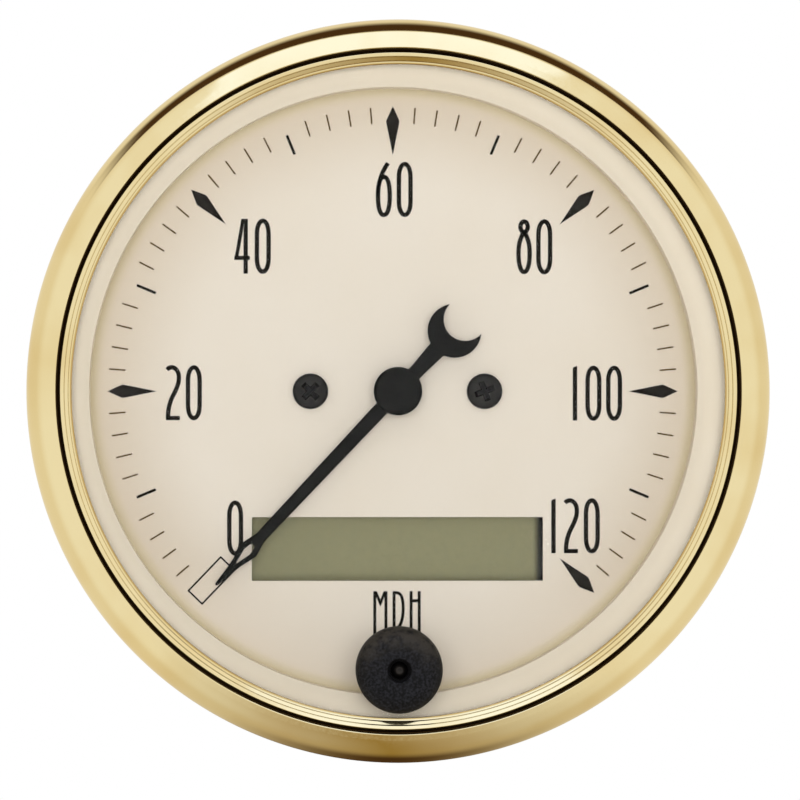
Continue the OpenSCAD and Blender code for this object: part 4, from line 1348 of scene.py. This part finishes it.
class SPEEDOMETER_OT_studs(bpy.types.Operator):
    """Turns the threaded mounting studs"""

    bl_idname = "speedometer.studs"
    bl_label = "Mounting studs"

    def threads(self, looks, place, back, front, sides=40):
        """The two studs' threads, which run out in a short lead at their free ends."""
        major, lead_length = 2.4, 1.2
        minor = major - looks.thread_depth / MM
        pitch = looks.pitch / MM
        bm = bmesh.new()
        rows = int((front - back) / pitch * 10)
        grid = []
        for i in range(rows + 1):
            z = back + (front - back) * i / rows
            lead = min(1.0, (z - back) / lead_length)
            ring = []
            for k in range(sides):
                turn = (z / pitch - k / sides) % 1.0
                # Flanks rise from a narrow root to a narrow crest
                rise = max(0.0, min(1.0, 1.25 - abs(4 * turn - 2) * 0.75))
                r = minor * (0.86 + 0.14 * lead) + (major - minor) * rise * lead
                a = 2 * math.pi * k / sides
                ring.append(bm.verts.new((place + r * math.cos(a), r * math.sin(a), z)))
            grid.append(ring)
        for lower, upper in zip(grid, grid[1:]):
            for k in range(sides):
                j = (k + 1) % sides
                bm.faces.new([lower[k], lower[j], upper[j], upper[k]])
        bm.faces.new(grid[0][::-1])
        bm.faces.new(grid[-1])
        copied = bmesh.ops.duplicate(bm, geom=bm.verts[:] + bm.faces[:])
        verts = [v for v in copied["geom"] if isinstance(v, bmesh.types.BMVert)]
        bmesh.ops.translate(bm, vec=(-2 * place, 0, 0), verts=verts)
        return smooth(new_mesh("stud_threads", bm), 50)

    def execute(self, context):
        looks = context.scene.speedometer_rear
        back, inside, floor = rear_of("mounting_studs"), front_of("mounting_studs"), rear_of("case")
        head, shoulder, collar = radius_of("mounting_studs"), 3.0, 4.0
        # The head and the staked collar are equally thick
        under, end = inside - 1.5, floor - 1.5
        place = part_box("mounting_studs")[1].x / MM - head
        zinc = zinc_plate(looks.plate)
        section = rounded(
            [
                (0, inside, 0),
                (head, inside, 0.3),
                (head, under, 0),
                (shoulder, under, 0),
                (shoulder, floor, 0),
                (collar, floor, 0),
                (collar, end, 0.5),
                (0, end, 0),
            ]
        )
        for side, name in ((1, "stud_head_right"), (-1, "stud_head_left")):
            mesh = lathe(name, section, 64, (side * place, 0))
            seat(name, mesh, zinc, "housing", "zinc_plate", "mounting_studs")
        threads = self.threads(looks, place, back, end)
        seat("stud_threads", threads, zinc, "housing", "zinc_plate", "mounting_studs")
        return {"FINISHED"}


class SPEEDOMETER_OT_lamp(bpy.types.Operator):
    """Softens the twist-lock lamp socket and finishes its bulb and contacts"""

    bl_idname = "speedometer.lamp"
    bl_label = "Lamp"

    def execute(self, context):
        socket = moulded_plastic("PBT, ivory", "D9D2BE", 0.88, (0.4, 0.55))
        shell = softened("lamp_socket", 0.3, 3)
        seat("twist_socket", shell, socket, "lamp", "socket_plastic", "lamp_socket")
        dress(bulb_glass(), "lamp_bulb")
        dress(spring_brass(), "lamp_contacts")
        return {"FINISHED"}


class SPEEDOMETER_OT_movement(bpy.types.Operator):
    """Finishes the movement, the circuit board and the light cup inside the case"""

    bl_idname = "speedometer.movement"
    bl_label = "Movement"

    def execute(self, context):
        steel = bright_steel()
        chip = moulded_plastic("epoxy, black", "1A1A1B", 1.35, (0.5, 0.65))
        dress(moulded_plastic("polycarbonate, white", "F1F0EA", 0.96, (0.5, 0.6)), "light_cup")
        dress(board_laminate(), "circuit_board")
        dress(steel, "board_screws", "coil_pins", "shield_can", "spindle", "clock_crystal")
        dress(chip, "processor_chip", "voltage_regulator")
        dress(moulded_plastic("PVC sleeve, navy", "22344F", 0.8, (0.25, 0.35)), "filter_capacitors")
        dress(moulded_plastic("PBT, black", "1E1E1E", 1.3), "lead_header")
        dress(moulded_plastic("nylon, natural", "E6E0CF", 0.92), "upper_bobbin", "lower_bobbin")
        dress(copper_winding(), "sine_coil", "cosine_coil")
        dress(ferrite(), "rotor_magnet")
        return {"FINISHED"}


class SPEEDOMETER_OT_stage(bpy.types.Operator):
    """Sets the floor, the studio's light and the camera"""

    bl_idname = "speedometer.stage"
    bl_label = "Stage"

    def floor(self, looks):
        """Round floor that polished metal doesn't mirror."""
        bm = bmesh.new()
        bmesh.ops.create_circle(bm, cap_ends=True, segments=96, radius=0.6)
        mesh = bpy.data.meshes.new("floor")
        bm.to_mesh(mesh)
        bm.free()
        mesh.transform(Matrix.Translation((0, 0, -looks.floor_drop)))
        mesh.materials.append(new_material("studio floor, matt", looks.floor, roughness=0.9)[0])
        floor = new_object("floor", mesh)
        floor.visible_glossy = False

    def mirrored(self, tree, looks):
        """Room that polished metal mirrors: pale sides, a brown stand, a dark overhead and a softbox."""
        place = add_node(tree, "ShaderNodeTexCoord").outputs["Generated"]
        axes = add_node(tree, "ShaderNodeSeparateXYZ", {"Vector": place}).outputs
        ahead = add_node(tree, "ShaderNodeMath", {0: axes["Y"], 1: -1.0}, operation="MULTIPLY").outputs[0]
        down = add_node(tree, "ShaderNodeMath", {0: axes["Z"], 1: -1.0}, operation="MULTIPLY").outputs[0]
        aside = add_node(tree, "ShaderNodeMath", {0: axes["X"]}, operation="ABSOLUTE").outputs[0]
        # Angle over the dial's axis, and angle round that axis from straight down
        rise = add_node(tree, "ShaderNodeMath", {0: axes["Z"], 1: ahead}, operation="ARCTAN2").outputs[0]
        turn = add_node(tree, "ShaderNodeMath", {0: aside, 1: down}, operation="ARCTAN2").outputs[0]
        # Each zone starts at one level of a direction and is full at the next
        sides = zone(tree, (ahead, 0.8, 0.2))
        # The stand fades to both sides and ends below the lens
        low = zone(tree, (ahead, 0.984, 0.977))
        stand = add_node(
            tree,
            "ShaderNodeMapRange",
            {"Value": turn, "From Min": math.radians(42), "From Max": 0.0, "To Max": low},
        )
        # The ground behind the stand is as dark as the overhead, which ends at both sides
        under = zone(tree, (turn, math.radians(30), 0.0), (ahead, 0.35, -0.4))
        dark = zone(
            tree,
            (rise, math.radians(60), math.radians(66)),
            (rise, math.radians(130), math.radians(95)),
            (aside, math.sin(math.radians(58)), math.sin(math.radians(42))),
        )
        # The softbox hangs above the lens, 30 degrees to either side
        softbox = zone(
            tree, (turn, math.radians(150), math.radians(152)), (ahead, 0.49, 0.52), (ahead, 0.992, 0.988)
        )
        colour = (1, 1, 1, 1)
        for share, tone in (
            (sides, looks.sides),
            (stand.outputs["Result"], looks.stand),
            (under, looks.overhead),
            (dark, looks.overhead),
            (softbox, toned(looks.daylight, looks.softbox)),
        ):
            layer = add_node(
                tree, "ShaderNodeMix", {"Factor": share, "A": colour, "B": rgba(tone)}, data_type="RGBA"
            )
            colour = layer.outputs["Result"]
        return colour

    def world(self, looks):
        """White backdrop, an even room for matt surfaces, and another room for polished metal to mirror."""
        world = bpy.data.worlds.new("studio")
        bpy.context.scene.world = world
        world.use_nodes = True
        tree = world.node_tree
        rays = add_node(tree, "ShaderNodeLightPath").outputs
        even = (looks.room, looks.room, looks.room, 1.0)
        lit = add_node(
            tree,
            "ShaderNodeMix",
            {"Factor": rays["Is Glossy Ray"], "A": even, "B": self.mirrored(tree, looks)},
            data_type="RGBA",
        )
        seen = add_node(
            tree,
            "ShaderNodeMath",
            {0: rays["Is Camera Ray"], 1: rays["Is Transmission Ray"]},
            operation="MAXIMUM",
        )
        colour = add_node(
            tree,
            "ShaderNodeMix",
            {"Factor": seen.outputs[0], "A": lit.outputs["Result"], "B": (1, 1, 1, 1)},
            data_type="RGBA",
        )
        tree.links.new(colour.outputs["Result"], tree.nodes["Background"].inputs["Color"])

    def lamp(self, name, radiance, rise):
        """Hangs a square lamp a metre off, some degrees over the dial's axis, unseen and unmirrored."""
        light = bpy.data.lights.new(name, "AREA")
        light.size = 0.6
        light.energy = radiance * math.pi * light.size**2
        lamp = new_object(name, light)
        place = Vector((0, -math.cos(math.radians(rise)), math.sin(math.radians(rise))))
        lamp.location = place
        lamp.rotation_euler = place.to_track_quat("Z", "Y").to_euler()
        lamp.visible_camera = False
        lamp.visible_glossy = False

    def camera(self, looks):
        """Camera at the photograph's distance, turn and framing."""
        camera = bpy.data.cameras.new("camera")
        camera.lens = camera.sensor_width * looks.distance / looks.frame_width
        camera.clip_start, camera.clip_end = 0.01, 20.0
        obj = new_object("camera", camera)
        a, b = looks.side, looks.lift
        place = Vector((math.sin(a) * math.cos(b), -math.cos(a) * math.cos(b), math.sin(b))) * looks.distance
        obj.location = place + Vector((looks.aim_x, looks.aim_y, looks.aim_z))
        obj.rotation_euler = place.to_track_quat("Z", "Y").to_euler()
        bpy.context.scene.camera = obj

    def execute(self, context):
        looks = context.scene.speedometer_stage
        self.floor(looks)
        self.world(looks)
        self.lamp("lamp_above", looks.lamp, 38)
        self.lamp("lamp_front", looks.fill, -4)
        self.lamp("lamp_behind", looks.fill, 150)
        self.camera(looks)
        context.scene.view_settings.view_transform = "Standard"
        return {"FINISHED"}


OPERATORS = (
    SPEEDOMETER_OT_stage,
    SPEEDOMETER_OT_bezel,
    SPEEDOMETER_OT_lens,
    SPEEDOMETER_OT_dial,
    SPEEDOMETER_OT_scale,
    SPEEDOMETER_OT_screws,
    SPEEDOMETER_OT_display,
    SPEEDOMETER_OT_pointer,
    SPEEDOMETER_OT_button,
    SPEEDOMETER_OT_case,
    SPEEDOMETER_OT_studs,
    SPEEDOMETER_OT_lamp,
    SPEEDOMETER_OT_movement,
)

LOOKS = {
    "speedometer_bezel": BezelLooks,
    "speedometer_dial": DialLooks,
    "speedometer_pointer": PointerLooks,
    "speedometer_button": ButtonLooks,
    "speedometer_rear": RearLooks,
    "speedometer_stage": StageLooks,
}


class SPEEDOMETER_PT_panel(bpy.types.Panel):
    """Lists the speedometer's pieces and their sizes"""

    bl_label = "Speedometer"
    bl_idname = "SPEEDOMETER_PT_panel"
    bl_space_type = "VIEW_3D"
    bl_region_type = "UI"
    bl_category = "Speedometer"

    def draw(self, context):
        layout = self.layout
        for name, group in LOOKS.items():
            box = layout.box()
            box.label(text=group.__doc__)
            for prop in group.__annotations__:
                box.prop(getattr(context.scene, name), prop)
        for operator in OPERATORS:
            layout.operator(operator.bl_idname)


CLASSES = (*LOOKS.values(), *OPERATORS, SPEEDOMETER_PT_panel)


def register():
    for cls in CLASSES:
        bpy.utils.register_class(cls)
    for name, group in LOOKS.items():
        setattr(bpy.types.Scene, name, PointerProperty(type=group))


def unregister():
    for name in LOOKS:
        delattr(bpy.types.Scene, name)
    for cls in reversed(CLASSES):
        bpy.utils.unregister_class(cls)


def main():
    register()
    for operator in OPERATORS:
        group, name = operator.bl_idname.split(".")
        getattr(getattr(bpy.ops, group), name)()


if __name__ == "__main__":
    main()
